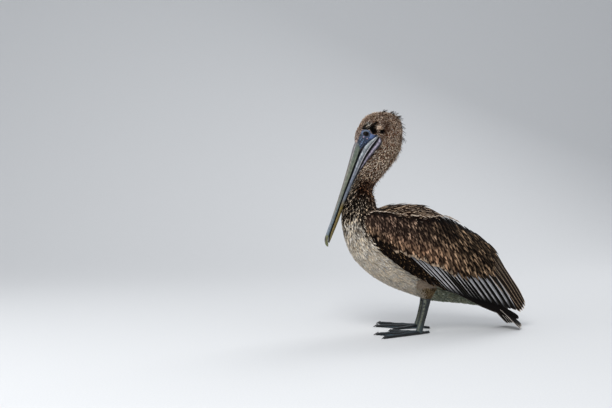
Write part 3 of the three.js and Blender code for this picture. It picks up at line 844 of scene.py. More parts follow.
def shank_tube(leg):
    """One shank's points and tones: scales round it, shields down its front and a tendon behind, with
    painted shade down its back and a painted highlight down its front, towards the bird's left.
    """
    share, turn = round_grid(rows=200, columns=72)
    ahead = np.cos(turn)
    deep, wide = table_at(SHANK, share)
    height = SHANK_TOP + SHANK_IN_THIGH - share * (SHANK_TOP + SHANK_IN_THIGH - SHANK_FOOT)
    lean = np.clip((SHANK_TOP - height) / SHANK_LEAN, 0, 1)[..., None] ** 1.3
    plates = scales(turn * 3.2, height * 330) * smooth(-0.2, 0.3, 0.6 - ahead)
    shields = np.abs(np.sin(height * 620)) ** 0.35 * smooth(0.5, 0.9, ahead)
    raised = np.maximum(plates, shields)
    scaled = 0.00045 * (raised - 0.6)
    tendon = 0.0007 * dip(turn, math.pi, 0.5) - 0.0006 * (dip(turn, 2.2, 0.3) + dip(turn, 4.08, 0.3))
    centre = np.array(leg["ankle"]) * (1 - lean) + np.array(leg["heel"]) * lean
    x = centre[..., 0] + (deep + scaled + tendon) * ahead
    y = centre[..., 1] + (wide + scaled) * np.sin(turn)
    shank = np.stack([x, y, height], -1)
    blotch = smooth(-0.1, 0.5, ripple(shank, 330, 21)) * smooth(0.035, 0.075, height)
    olive = layered(
        tone(40, 46, 45),
        (tone(12, 16, 17), smooth(0.9, 0.3, raised)),
        (tone(50, 63, 66), smooth(0.040, 0.012, height)),
        (tone(24, 32, 36), 0.75 * blotch),
        # Painted shade down the back.
        (tone(14, 18, 20), 0.8 * smooth(-0.45, -0.85, ahead)),
        # A painted highlight down the front, towards the bird's left.
        (tone(118, 122, 104), 0.6 * dip(turn, 0.9, 0.35) * (1 - blotch)),
    )
    return shank + STAND, olive, -1


def toe_tube(heel, reach, radius, forth, across):
    """One toe's points and tones: flat below, with a row of plates on top and two knuckles."""
    share, turn = round_grid(rows=110, columns=40, last=0.93)
    wide, high = table_at(TOE_TAPER, share)
    plate = np.abs(np.sin(math.pi * share * (reach / TOE_PLATE))) ** 0.4 * smooth(0.1, 0.6, np.sin(turn))
    knuckle = 1 + 0.10 * (dip(share, 0.36, 0.05) + dip(share, 0.66, 0.05))
    swell = radius * knuckle + 0.0003 * plate
    rise = np.maximum(swell * high * (0.8 + np.sin(turn)), 0)
    toe = heel + share[..., None] * reach * forth + (swell * wide * np.cos(turn))[..., None] * across
    slate = layered(
        tone(9, 12, 15),
        (tone(50, 62, 70), plate * 0.7),
        (tone(10, 12, 15), smooth(0.85, 0.4, np.sin(turn))),
    )
    return toe + rise[..., None] * UP, slate, 1


def claw_tube(heel, reach, radius, forth, across):
    """One claw: a bent cone from the toe's end down to the floor."""
    share, turn = round_grid(rows=22, columns=16)
    run = reach * (0.885 + 0.112 * share)
    thick = radius * 0.66 * (1 - share) ** 0.75 + 0.0002
    arch = radius * (0.85 + 0.35 * np.sin(math.pi * (0.25 + 0.75 * share)) - 0.85 * share)
    claw = heel + run[..., None] * forth + (thick * 0.72 * np.cos(turn))[..., None] * across
    claw = claw + np.maximum(arch + thick * np.sin(turn), 0.0002)[..., None] * UP
    return claw, tone(26, 24, 26), 1


def web_tube(heel, first, second, sag, hand):
    """The web between two toes: a slab whose edge dips and whose skin lies in soft folds."""
    share, over = np.meshgrid(np.linspace(0, 1, 60), np.linspace(0, 1, 40), indexing="ij")
    run = share * 0.91 * (1 - sag * np.sin(math.pi * over) ** 0.8)
    level = heel + run[..., None] * (first * (1 - over[..., None]) + second * over[..., None])
    folds = 0.0006 * np.sin(over * 26 + 2 * np.sin(share * 5)) * np.sin(math.pi * over) * share
    top = WEB_THICK * (1 + 0.3 * (1 - share)) + folds - 0.0004 * smooth(0.9, 1.0, share)
    slab = np.concatenate([level + top[..., None] * UP, level[:, ::-1]], 1)
    veins = smooth(0.2, 0.9, np.sin(over * 60 + 3 * np.sin(share * 9)))
    film = layered(
        tone(70, 92, 104),
        (tone(24, 36, 44), 0.6 * veins),
        (tone(40, 50, 56), smooth(0.93, 1.0, share)),
    )
    return slab, np.concatenate([film, film[:, ::-1]], 1), hand


foot_material = living_material(
    "scaled_skin", grain=1500, relief=0.0002, Roughness=0.5, Specular_IOR_Level=0.3
)
claw_material = living_material(
    "claw_horn",
    grain=1200,
    relief=0.0001,
    Roughness=0.3,
    Specular_IOR_Level=0.5,
    Coat_Weight=0.3,
    Coat_Roughness=0.2,
)
for side, hand in SIDES.items():
    leg = LEGS[side]
    heel = np.array([*leg["heel"], 0]) + STAND
    tubes, claws, lines = [shank_tube(leg)], [], []
    for reach, outwards, radius in TOES.values():
        angle = hand * math.radians(leg["turn"] + outwards)
        forth = np.array([math.cos(angle), math.sin(angle), 0])
        across = np.array([-math.sin(angle), math.cos(angle), 0])
        tubes.append(toe_tube(heel, reach, radius, forth, across))
        claws.append(claw_tube(heel, reach, radius, forth, across))
        lines.append(forth * reach)
    for first, second, sag in zip(lines, lines[1:], WEB_SAGS):
        tubes.append(web_tube(heel, first, second, sag, hand))
    foot = tube_piece("foot_and_shank_" + side, tubes, foot_material)
    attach(foot, "root")
    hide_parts("shank_" + side, "foot_" + side)
    claw_piece = tube_piece("claws_" + side, claws, claw_material)
    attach(claw_piece, "root")

# ---- Tail ----
# Sixteen blunt quills in a shallow fan, dark grey-brown with pale edges, their shafts raised. They are
# closed blades, the middle ones on top, with their roots under the rump's feathers.


def vane_faces(count, rings):
    """Faces of many closed blades of three-point rings and a tip, one after another."""
    ring, edge = np.meshgrid(np.arange(rings - 1), np.arange(3), indexing="ij")
    first, second = ring * 3 + edge, ring * 3 + (edge + 1) % 3
    quads = np.stack([first, first + 3, second + 3, second], -1).reshape(-1, 4)
    last = (rings - 1) * 3
    tip = rings * 3
    ends = np.array([[0, 1, 2], [last, tip, last + 1], [last + 1, tip, last + 2], [last + 2, tip, last]])
    shift = (np.arange(count) * (tip + 1))[:, None, None]
    return (quads + shift).reshape(-1, 4), (ends + shift).reshape(-1, 3)


def vanes(lines, normals, half, profile, thick, camber, roll=0.0):
    """Closed thin blades along the lines, whose last station is the point. Each ring has a left edge,
    a raised shaft and a right edge, half the blade's width times the profile away; the edges droop by
    camber times that, and roll tips the blade about its shaft."""
    across = unit(np.cross(normals, unit(np.gradient(lines, axis=1))))
    middle, up, out = lines[:, :-1], normals[:, :-1], across[:, :-1]
    width = (np.broadcast_to(half, (len(lines),))[:, None] * profile)[..., None]
    tilt = np.broadcast_to(roll, (len(lines),))[:, None, None]
    left = middle - out * width - up * width * (camber + tilt)
    right = middle + out * width - up * width * (camber - tilt)
    rings = np.stack([left, middle + up * thick, right], 2).reshape(len(lines), -1, 3)
    return np.concatenate([rings, lines[:, -1:]], 1)


# The numbers that each blade carries for its paint; plumage_material says what they do.
AMOUNTS = ("fringe", "tipped", "grain", "onesided", "drop", "root_shade")


def feather_piece(name, batches, material, hand=1, sharp=True):
    """One mesh of many feathers, mirrored where hand is -1. Each batch has its blades' points, their
    stations, the roots' place on the unwrapped skin, the size of a blade's patch there, their deep and
    light tones and the amounts that plumage_material reads. Sharp edges run along the vanes' rims."""
    points, quads, ends, vane, bake, columns = [], [], [], [], [], []
    paints = {key: [] for key in ("deep", "light")}
    amounts = {key: [] for key in AMOUNTS}
    start = 0
    for batch in batches:
        blades, stations = batch["blades"], batch["stations"]
        count, size = blades.shape[:2]
        rings = len(stations) - 1
        four, three = vane_faces(count, rings)
        quads.append(four[:, ::hand] + start)
        ends.append(three[:, ::hand] + start)
        start += count * size
        points.append((blades if hand == 1 else mirrored(blades)).reshape(-1, 3))
        along = np.concatenate([np.repeat(stations[:-1], 3), [1.0]])
        across = np.concatenate([np.tile([0.0, 0.5, 1.0], rings), [0.5]])
        own = np.stack([across, along], -1)
        vane.append(np.tile(own, (count, 1)))
        patch = np.array(batch.get("patch", (0.003, 0.003)))
        roots = batch["places"][:, None, :] + (own[None] - 0.5) * patch
        bake.append(np.clip(roots, 0, 1).reshape(-1, 2))
        columns.append(np.tile(np.concatenate([np.tile([0, 1, 2], rings), [3]]), count))
        for key in paints:
            paints[key].append(np.repeat(np.broadcast_to(batch[key], (count, 3)), size, 0))
        for key in amounts:
            amounts[key].append(np.repeat(np.broadcast_to(batch.get(key, 0.0), (count,)), size))
    piece = make_mesh(
        name,
        np.concatenate(points),
        [np.concatenate(quads), np.concatenate(ends)],
        maps={"OFBake": np.concatenate(bake), "Vane": np.concatenate(vane)},
        colours={key: np.concatenate(values) for key, values in paints.items()},
        numbers={key: np.concatenate(values) for key, values in amounts.items()},
    )
    if sharp:
        mesh = piece.data
        corners = np.empty(len(mesh.edges) * 2, np.int32)
        mesh.edges.foreach_get("vertices", corners)
        column = np.concatenate(columns)[corners.reshape(-1, 2)]
        rim = (column == 0) | (column == 2)
        same = (column[:, 0] == column[:, 1]) & rim[:, 0]
        to_tip = (column == 3).any(1) & rim.any(1)
        layer = mesh.attributes.new("sharp_edge", "BOOLEAN", "EDGE")
        layer.data.foreach_set("value", same | to_tip)
    piece.data.materials.append(material)
    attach(piece, "root")
    return piece


def plumage_material(name, barbs, gloss):
    """Feather vanes in their own two tones: deep in the middle and light along fringe and tip, with a
    shaft line, fine slanting barbs, torn edges and painted shade on the root that the next feather
    lies over. barbs is the number of barbs along a vane. Each blade's amounts: fringe and tipped, how
    far the light tone reaches in from rim and tip; drop, how much that tip narrows to a drop on the
    shaft; onesided, how much of one vane is light; grain, how dark the blade is; and the last, how much
    painted shade darkens its hidden root."""
    material, tree, shader = new_material(
        name, Roughness=0.66 - 0.2 * gloss, Specular_IOR_Level=0.03 + 0.05 * gloss
    )
    times, plus, minus, fused = (
        functools.partial(maths, tree, kind) for kind in ("MULTIPLY", "ADD", "SUBTRACT", "MULTIPLY_ADD")
    )
    uv = add(tree, "UVMap", uv_map="Vane").outputs[0]
    across, up = add(tree, "SeparateXYZ", {0: uv}).outputs[0:2]
    fringe, tipped, grain, onesided, drop, root_shade = (attribute(tree, key, "Fac") for key in AMOUNTS)
    deep, light = attribute(tree, "deep"), attribute(tree, "light")
    centred = fused(across, 2.0, -1.0)
    off_shaft = maths(tree, "ABSOLUTE", centred)
    tear = fused(noise(tree, 700.0, 3), 0.30, -0.15)
    # Light rim and tip, and beside the shaft the tip's light fades where drop asks.
    edge = plus(off_shaft, tear)
    along = fused(tear, 0.25, up)
    rim = ramp(tree, edge, minus(0.94, fringe), minus(1.06, times(fringe, 0.6)))
    point = ramp(tree, along, minus(1.0, times(tipped, 1.35)), minus(1.0, times(tipped, 0.7)))
    point = times(point, minus(1.0, times(ramp(tree, edge, 0.12, 0.42), drop)))
    # Where onesided asks, one vane and the tip are all light, with a glint and a dark lip beside it.
    ahead = minus(times(tear, 0.4), centred)
    border = minus(1.26, onesided)
    light_vane = ramp(tree, ahead, border, plus(border, 0.08))
    split_vane = maths(tree, "GREATER_THAN", onesided, 0.1)
    glint = minus(ramp(tree, ahead, minus(border, 0.18), minus(border, 0.08)), light_vane)
    paint = mixed(tree, deep, light, maths(tree, "MAXIMUM", maths(tree, "MAXIMUM", rim, point), light_vane))
    paint = mixed(tree, paint, (0.80, 0.82, 0.84, 1), times(glint, split_vane))
    lip = times(ramp(tree, ahead, 0.84, 0.92), split_vane)
    paint = mixed(tree, paint, (0.05, 0.045, 0.035, 1), lip)
    worn = times(ramp(tree, along, 0.78, 0.97), split_vane)
    paint = mixed(tree, paint, light, times(worn, 0.85))
    # Barbs slant back from the shaft; a sine's whole turn makes one barb.
    comb = maths(tree, "SINE", times(fused(off_shaft, -0.10, up), 6.283 * barbs))
    barb = fused(comb, 0.5, 0.5)
    shaft = ramp(tree, off_shaft, 0.10, 0.03)
    shade = fused(grain, 0.80, times(ramp(tree, noise(tree, 110.0, 2), 0.6, 0.35), 0.25))
    # Painted shade darkens each blade's root, where the next feather lies over it.
    painted_root_shade = times(ramp(tree, up, 0.88, 0.56), root_shade)
    for dark, share in (
        ((0.45, 0.41, 0.38, 1), times(barb, 0.30)),
        ((0.42, 0.37, 0.34, 1), times(shaft, 0.35)),
        ((0.26, 0.23, 0.21, 1), shade),
        ((0.10, 0.08, 0.07, 1), painted_root_shade),
    ):
        paint = mixed(tree, paint, dark, share, "MULTIPLY")
    dress(tree, shader, paint, plus(barb, times(shaft, 1.5)), 0.5, 0.0002)
    return material


QUILL_STATIONS = np.array([0, 0.1, 0.25, 0.4, 0.55, 0.7, 0.82, 0.9, 0.95, 0.985, 1.0])
QUILL_PROFILE = np.array([0.3, 0.55, 0.8, 0.92, 1.0, 1.0, 0.96, 0.84, 0.64, 0.34])
flight_paint = plumage_material("quill_vane", barbs=90, gloss=0.5)
TAIL_COUNT = 16
# How far the middle quills run back and fall, and where they leave the rump.
TAIL_RUN = 0.113
TAIL_FALL = 0.087
TAIL_ROOT = np.array([-0.190, 0, 0.098])
# How far a quill's root reaches forward under the rump, and how much it bows up.
TAIL_TUCK = 0.020
TAIL_BOW = 0.004
# place runs from -1 to 1 across the fan; the outermost quills come first and lie lowest.
place = np.linspace(-1, 1, TAIL_COUNT)
place = place[np.argsort(np.abs(place))[::-1]]
tail_length = math.hypot(TAIL_RUN, TAIL_FALL)
slope = np.array([-TAIL_RUN, 0, -TAIL_FALL]) / tail_length
over = np.array([-TAIL_FALL, 0, TAIL_RUN]) / tail_length
reach = tail_length * (1 - 0.07 * place**2)
lift = 0.0022 - 0.0040 * np.abs(place)
roots = TAIL_ROOT + STAND + (0.017 * place)[:, None] * LEFT
roots = roots + lift[:, None] * over - slope * TAIL_TUCK
ends = roots + (reach + TAIL_TUCK)[:, None] * slope + (0.023 * place)[:, None] * LEFT
ends = ends - (0.013 * place**2)[:, None] * over
s = QUILL_STATIONS[:, None]
lines = roots[:, None] * (1 - s) + ends[:, None] * s + TAIL_BOW * over * np.sin(math.pi * s)
normals = np.broadcast_to(over, lines.shape) + 0.35 * place[:, None, None] * LEFT
tail_batch = {
    "blades": vanes(
        lines, normals, 0.0072, QUILL_PROFILE, thick=0.0008, camber=0.12, roll=0.14 * np.sign(place)
    ),
    "stations": QUILL_STATIONS,
    "places": np.stack([0.03 + 0.062 * np.arange(TAIL_COUNT), np.full(TAIL_COUNT, 0.5)], -1),
    "patch": (0.04, 0.9),
    "deep": tone(18, 13, 11),
    "light": tone(240, 230, 218),
    "fringe": 0.34,
    "tipped": 0.02,
    "grain": np.random.default_rng(51).uniform(0, 0.5, TAIL_COUNT),
}
tail = feather_piece("tail_quills", [tail_batch], flight_paint)
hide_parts("tail")

# ---- Flight feathers ----
# The long quills of the folded wing fan out from under the coverts: silver-grey ones with black lower
# edges, black primaries below them that end in the wing's point, and brown tertials along the top.
WING_LOW = np.array([list(rib[3:6:2]) for rib in WING_RIBS.values()])


def wing_floor(x):
    """Height of the wing's lower edge over the floor at x, in side view."""
    return np.interp(x, WING_LOW[::-1, 0], WING_LOW[::-1, 1])


def on_wing(x, z):
    """The wing's own w and v for places given in side view: the nearest of a grid of places, then
    four Newton steps."""
    w, v = np.meshgrid(np.linspace(0, 1, 140), np.linspace(0, 1.06, 50), indexing="ij")
    known = side_view(wing_surface(w, v)).reshape(-1, 2)
    goal = np.stack([np.ravel(x), np.ravel(z)], -1)
    nearest = np.array([np.argmin(((known - wanted) ** 2).sum(1)) for wanted in goal])
    a, b = w.ravel()[nearest], v.ravel()[nearest]
    for _ in range(4):
        point, _, along, across = tangents(wing_surface, a, b)
        miss = goal - side_view(point)
        det = along[:, 0] * across[:, 2] - along[:, 2] * across[:, 0]
        det = np.where(np.abs(det) < 1e-6, 1e-6, det)
        step_a = (miss[:, 0] * across[:, 2] - miss[:, 1] * across[:, 0]) / det
        step_b = (along[:, 0] * miss[:, 1] - along[:, 2] * miss[:, 0]) / det
        a = np.clip(a + np.clip(step_a, -0.02, 0.02), 0, 1)
        b = np.clip(b + np.clip(step_b, -0.05, 0.05), 0.0, 1.08)
    return a.reshape(np.shape(x)), b.reshape(np.shape(x))


# Each of the three sorts of quill has its own strip of the unwrapped skin: its width and margin.
STRIP_WIDE = 0.30
STRIP_MARGIN = 0.015


def wing_quills(starts, ends, sag, half, depth, paint, low, seed, roll=0.0, onesided=0.0, fringe=0.1):
    """Long quills between places given in side view, laid on the wing's face, each depth under it.
    low is where their strip starts on the unwrapped skin."""
    s = QUILL_STATIONS[None, :]
    x = starts[:, 0:1] * (1 - s) + ends[:, 0:1] * s
    z = starts[:, 1:2] * (1 - s) + ends[:, 1:2] * s + sag * np.sin(math.pi * s)
    w, v = on_wing(x, z)
    under = depth[:, 0:1] * (1 - s) + depth[:, 1:2] * s
    lines, normals, _, _ = tangents(wing_surface, w, np.clip(v, 0.02, 1.05), under)
    for values in (lines, normals):
        for _ in range(3):
            values[:, 1:-1] = (values[:, :-2] + 2 * values[:, 1:-1] + values[:, 2:]) / 4
    count = len(starts)
    strip = (np.arange(count) + 0.5) / count * STRIP_WIDE + (low + STRIP_MARGIN)
    return {
        "blades": vanes(lines, -unit(normals), half, QUILL_PROFILE, thick=0.0005, camber=0.06, roll=roll),
        "stations": QUILL_STATIONS,
        "places": np.stack([strip, np.full(count, 0.5)], -1),
        "patch": (0.015, 0.9),
        "deep": paint[0],
        "light": paint[1],
        "onesided": onesided,
        "fringe": fringe,
        "tipped": 0.02,
        "grain": np.random.default_rng(seed).uniform(0, 0.45, count),
    }


def ranked(rank, first, change):
    """Depths of root and tip under the wing's face for quills in a row: first, plus change times the
    quill's rank from 0 to 1."""
    return np.array(first) + rank[:, None] * np.array(change)


# The silver quills start under the coverts' edge and run on until they reach the wing's lower rim.
# Their deep tone is the silver, and their light one the black of the lower vane.
SILVER_COUNT = 17
# How far their roots reach up under the coverts.
SILVER_TUCK = 0.035
silver_x = np.linspace(0.046, -0.208, SILVER_COUNT)
silver_angle = np.radians(np.interp(-silver_x, [-0.05, 0.04, 0.12, 0.17, 0.208], [40, 46, 48, 50, 54]))
silver_way = np.stack([-np.cos(silver_angle), -np.sin(silver_angle)], -1)
silver_root = np.stack([silver_x, covert_line(silver_x) - 0.012 * smooth(-0.05, 0.0, silver_x)], -1)
far = np.linspace(0, 0.25, 400)
path_x = silver_root[:, 0:1] + silver_way[:, 0:1] * far
path_z = silver_root[:, 1:2] + silver_way[:, 1:2] * far
brink = wing_floor(path_x) + np.interp(path_x, [-0.30, -0.15, 0.0], [0.022, 0.012, 0.008])
stop = far[np.argmax((path_z < brink) | (path_x < -0.312), axis=1)]
rank = np.linspace(0, 1, SILVER_COUNT)
silver = wing_quills(
    silver_root - silver_way * SILVER_TUCK,
    silver_root + silver_way * stop[:, None],
    sag=0.002,
    half=np.interp(rank, [0, 0.3, 1], [0.0064, 0.0074, 0.0096]),
    depth=ranked(rank, (0.0078, 0.0050), (-0.0034, -0.0036)),
    paint=(tone(166, 167, 172), tone(5, 4, 3)),
    low=0.0,
    seed=61,
    roll=-0.16,
    onesided=0.84 + 0.50 * rank,
    fringe=0.05,
)
# The black primaries lie under them along the wing's lower rim.
DARK_COUNT = 9
dark_x = np.linspace(0.075, -0.12, DARK_COUNT)
rank = np.linspace(0, 1, DARK_COUNT)
dark_end_x = -0.212 - 0.090 * rank
dark = wing_quills(
    np.stack([dark_x, wing_floor(dark_x) + 0.026], -1),
    np.stack([dark_end_x, wing_floor(dark_end_x) + 0.003 - 0.006 * rank], -1),
    sag=-0.001,
    half=0.0085,
    depth=ranked(rank, (0.0105, 0.0085), (-0.0010, -0.0040)),
    paint=(tone(17, 13, 11), tone(58, 48, 42)),
    low=0.34,
    seed=62,
    fringe=0.06,
)
# The tertials run from the rump's side to the wing's point.
tertials = wing_quills(
    np.array([[-0.180, 0.170], [-0.186, 0.188], [-0.193, 0.206], [-0.197, 0.224], [-0.200, 0.238]]),
    np.array([[-0.298, 0.048], [-0.305, 0.051], [-0.311, 0.055], [-0.316, 0.061], [-0.319, 0.072]]),
    sag=0.006,
    half=0.0088,
    depth=ranked(np.linspace(0, 1, 5), (0.0050, 0.0024), (-0.0020, -0.0024)),
    paint=(tone(28, 19, 14), tone(206, 182, 154)),
    low=0.67,
    seed=63,
    roll=-0.12,
    fringe=0.20,
)
for side, hand in SIDES.items():
    quills = feather_piece("quills_" + side, [dark, silver, tertials], flight_paint, hand)
    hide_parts("flight_feathers_" + side)

# ---- Wing coverts ----
# Rows of small feathers over the arm: grey-brown and narrow in front, broad with pale tips behind, a
# pale line of tiny ones along the upper edge, and black ones with tan specks on the hand below.


def scatter(surface, first, second, spacing):
    """Roots spread evenly over a surface between two limits of each parameter, as far apart as
    spacing(points, a, b) says: a low-discrepancy sequence, whose steps are powers of the plastic
    number's inverse, bent by the inverse of the wanted count's running sum."""
    a, b = np.linspace(*first, 181), np.linspace(*second, 145)
    grid_a, grid_b = np.meshgrid(a, b, indexing="ij")
    points, _, along, across = tangents(surface, grid_a, grid_b)
    want = np.linalg.norm(np.cross(along, across), axis=-1) / spacing(points, grid_a, grid_b) ** 2
    count = int(want.sum() * (a[1] - a[0]) * (b[1] - b[0]))
    n = np.arange(count)[:, None]
    u = (0.5 + n * np.array([0.7548776662, 0.5698402910])) % 1
    rows = np.concatenate([[0], np.cumsum((want.sum(1)[1:] + want.sum(1)[:-1]) / 2)])
    at = np.interp(u[:, 0] * rows[-1], rows, np.arange(len(a)))
    i = np.minimum(at.astype(int), len(a) - 2)
    f = (at - i)[:, None]
    line = want[i] * (1 - f) + want[i + 1] * f
    sums = np.concatenate([np.zeros((count, 1)), np.cumsum((line[:, 1:] + line[:, :-1]) / 2, 1)], 1)
    goal = u[:, 1] * sums[:, -1]
    j = np.clip((sums < goal[:, None]).sum(1) - 1, 0, len(b) - 2)
    low = np.take_along_axis(sums, j[:, None], 1)[:, 0]
    high = np.take_along_axis(sums, j[:, None] + 1, 1)[:, 0]
    g = np.clip((goal - low) / np.maximum(high - low, 1e-12), 0, 1)
    return np.interp(at, np.arange(len(a)), a), b[j] + g * (b[1] - b[0])


def lay(surface, a, b, length, lie, depths):
    """Centre lines of feathers laid on a surface: each starts at its root and runs its length in even
    steps the way lie(normals, along) points, one depth under the surface per step."""
    lines, normals = [], []
    step = length / (len(depths) - 1)
    for depth in depths:
        point, normal, along, across = tangents(surface, a, b, depth)
        way = lie(normal, along)
        way = unit(way - normal * np.sum(way * normal, -1, keepdims=True))
        lines.append(point)
        normals.append(normal)
        g11, g12, g22 = ((p * q).sum(-1) for p, q in ((along, along), (along, across), (across, across)))
        r1, r2 = (way * along).sum(-1), (way * across).sum(-1)
        det = np.maximum(g11 * g22 - g12 * g12, 1e-12)
        a = a + step * (g22 * r1 - g12 * r2) / det
        b = b + step * (g11 * r2 - g12 * r1) / det
    return np.stack(lines, 1), np.stack(normals, 1)


COVERT_STATIONS = np.array([0, 0.3, 0.55, 0.78, 0.92, 1.0])
COVERT_PROFILE = np.array([0.4, 0.8, 1.0, 0.9, 0.52])
COVERT_ROOT_DEPTH = 0.006


def covert_angle(x):
    """Degrees below the level that the wing's small feathers point, steeper towards the wrist."""
    return np.interp(x, [-0.30, -0.20, -0.10, 0.0, 0.10, 0.17], [52, 56, 63, 72, 80, 84])


def wing_lie(angles):
    """The lie of feathers that point backwards and down by fixed angles, in degrees."""
    way = np.stack([-np.cos(np.radians(angles)), 0 * angles, -np.sin(np.radians(angles))], -1)
    return lambda normal, along: way


def covert_batch(roots, length, half, angles, deep, light, fringe, tipped, rise, seed, grain=0.8, drop=0.0):
    """Wing feathers laid from their roots. They lie in the coat from COVERT_ROOT_DEPTH at the root to
    rise under its outline at the tip."""
    dice = np.random.default_rng(seed)
    a, b = roots
    count = len(a)
    depths = [
        COVERT_ROOT_DEPTH - (COVERT_ROOT_DEPTH - rise) * s**0.8 + dice.uniform(-0.0004, 0.0004, count)
        for s in COVERT_STATIONS
    ]
    lines, normals = lay(wing_surface, a, b, length, wing_lie(angles + dice.normal(0, 5, count)), depths)
    roll = dice.normal(0, 0.06, count)
    return {
        "blades": vanes(lines, -normals, half, COVERT_PROFILE, thick=0.0006, camber=0.16, roll=roll),
        "stations": COVERT_STATIONS,
        "places": np.stack([a, b], -1),
        "deep": deep,
        "light": light,
        "fringe": fringe * dice.uniform(0.5, 1.3, count),
        "tipped": tipped * dice.uniform(0.5, 1.4, count),
        "grain": dice.uniform(0, grain, count),
        "drop": drop * dice.uniform(0.5, 1.0, count),
        # Painted shade on the roots that the next feathers lie over.
        "root_shade": 0.85,
    }


# A feather spacing of a metre leaves a place bare.
NONE_HERE = 1.0


def covert_spacing(points, a, b):
    """Feathers stand closer together on the front of the wing than behind."""
    x, _, z = np.moveaxis(points - STAND, -1, 0)
    apart = np.interp(x, [-0.25, -0.05, 0.10, 0.16], [0.0118, 0.0102, 0.0066, 0.0056])
    return np.where(z > covert_line(x), apart, NONE_HERE)


def band_spacing(points, a, b):
    """The hand's black feathers keep to the strip between the coverts' edge and the wing's rim."""
    x, _, z = np.moveaxis(points - STAND, -1, 0)
    under_coverts = (z < covert_line(x) + 0.020) & (z < 0.196 + (x - 0.0305) * 0.88)
    over_rim = z > wing_floor(x) + 0.008 * (x < 0.01)
    return np.where(under_coverts & over_rim & (x > -0.045), 0.0054, NONE_HERE)


def brim_spacing(points, a, b):
    """Tiny feathers along the wing's upper edge."""
    return np.full(a.shape, 0.0036)


# Brown coverts: those whose tips reach over the edge by more than a little are left out. behind is 1
# at the rear, low 1 in the last rows over the edge and middle 1 in the paler patch in mid-wing.
roots = np.array(scatter(wing_surface, (0.01, 0.80), (0.015, 0.95), covert_spacing))
x, z = side_view(wing_surface(*roots)).T
length = 0.024 + 0.017 * smooth(0.12, -0.12, x)
angle = covert_angle(x)
tip_x, tip_z = x - length * np.cos(np.radians(angle)), z - length * np.sin(np.radians(angle))
inside = tip_z > covert_line(tip_x) - 0.007 * np.random.default_rng(70).uniform(-0.4, 1, len(x))
roots, x, z, length, angle = roots[:, inside], x[inside], z[inside], length[inside], angle[inside]
behind = smooth(0.12, -0.12, x)
low = smooth(0.055, 0.015, z - covert_line(x))
middle = dip(x, 0.025, 0.10) * smooth(0.22, 0.5, roots[1])
deep = layered(
    tone(52, 38, 32),
    (tone(44, 28, 19), low),
    (tone(12, 6, 3), behind * 0.9),
    (tone(92, 68, 55), 0.8 * middle),
)
light = layered(
    tone(214, 180, 156),
    (tone(246, 208, 168), np.maximum(behind, low * 0.8)),
    (tone(214, 166, 130), 0.7 * middle),
)
clump = 1 + 0.5 * ripple((wing_surface(*roots) - STAND) * [1, 1, 0.35], 230, 66)
bright = (0.10 + 1.25 * np.random.default_rng(69).uniform(0, 1, len(x)) ** 2.4) * clump
bright = bright * (0.76 + 0.75 * middle - 0.16 * behind)
brown_coverts = covert_batch(
    roots,
    length,
    half=0.0034 + 0.0016 * behind,
    angles=angle,
    deep=deep * clump[:, None],
    light=light * np.clip(bright, 0.05, 1)[:, None],
    fringe=0.05,
    tipped=0.17 + 0.06 * behind + 0.08 * middle + 0.06 * low,
    rise=0.0004,
    seed=71,
    drop=1.0 - 0.6 * np.maximum(middle, 0.7 * low),
)
# Black ones on the hand, about a third of them with a tan speck.
roots = scatter(wing_surface, (0.0, 0.62), (0.30, 0.95), band_spacing)
x, _ = side_view(wing_surface(*roots)).T
dice = np.random.default_rng(72)
specked = (dice.uniform(0, 1, len(x)) < 0.34) * 1.0
hand_coverts = covert_batch(
    roots,
    dice.uniform(0.018, 0.026, len(x)),
    half=dice.uniform(0.0018, 0.0030, len(x)),
    angles=np.interp(x, [-0.07, 0.17], [39, 50]),
    deep=blend(tone(13, 8, 6), tone(38, 26, 18), dice.uniform(0, 0.6, len(x))),
    light=blend(tone(36, 26, 20), tone(166, 134, 98), specked),
    fringe=0.05,
    tipped=0.07,
    rise=0.0024,
    seed=73,
    grain=0.5,
    drop=1.0,
)
# Tiny pale ones along the upper edge.
roots = scatter(wing_surface, (0.03, 0.52), (0.0, 0.018), brim_spacing)
count = len(roots[0])
dice = np.random.default_rng(74)
pale_brim = covert_batch(
    roots,
    dice.uniform(0.010, 0.015, count),
    half=dice.uniform(0.0010, 0.0017, count),
    angles=14.0,
    deep=tone(150, 128, 112),
    light=tone(226, 208, 188),
    fringe=0.3,
    tipped=0.3,
    rise=0.0,
    seed=75,
    grain=0.35,
)
# One row of dark greater coverts below the brown ones ends in a pale line.
x = np.linspace(0.108, -0.060, 32)
dice = np.random.default_rng(76)
last_row = covert_batch(
    on_wing(x, covert_line(x) + 0.010),
    dice.uniform(0.024, 0.034, len(x)),
    half=np.interp(x, [-0.24, 0.15], [0.0066, 0.0052]),
    angles=covert_angle(x) - 22,
    deep=tone(54, 38, 29),
    light=tone(208, 184, 158) * dice.uniform(0.4, 1.1, (len(x), 1)),
    fringe=0.10,
    tipped=0.16,
    rise=0.0012,
    seed=77,
)
covert_paint = plumage_material("covert_vane", barbs=34, gloss=0.2)
for side, hand in SIDES.items():
    batches = [hand_coverts, last_row, brown_coverts, pale_brim]
    coverts = feather_piece("coverts_" + side, batches, covert_paint, hand)
    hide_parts("wing_" + side)

# ---- Body coat ----
# Short overlapping feathers, all pointing away from the bill: broad and streaked on the back, fine and
# hair-like on belly, neck and head, with a ragged crest of thin wisps on the nape.
TUFT_STATIONS = np.array([0, 0.35, 0.65, 0.88, 1.0])
TUFT_PROFILE = np.array([0.45, 1.0, 0.92, 0.55])
FULL_TURN = (0.0, 2 * math.pi)


def body_lie(swirl):
    """Feathers point down the body, from bill to tail, each turned about the normal by its swirl."""
    cosine, sine = np.cos(swirl)[:, None], np.sin(swirl)[:, None]

    def lie(normal, along):
        """The directions of one step."""
        back = unit(-along)
        return back * cosine + np.cross(normal, back) * sine

    return lie


def on_skin(a, b):
    """Places of roots a, b on the unwrapped body."""
    return np.stack([a, (b / (2 * math.pi)) % 1], -1)


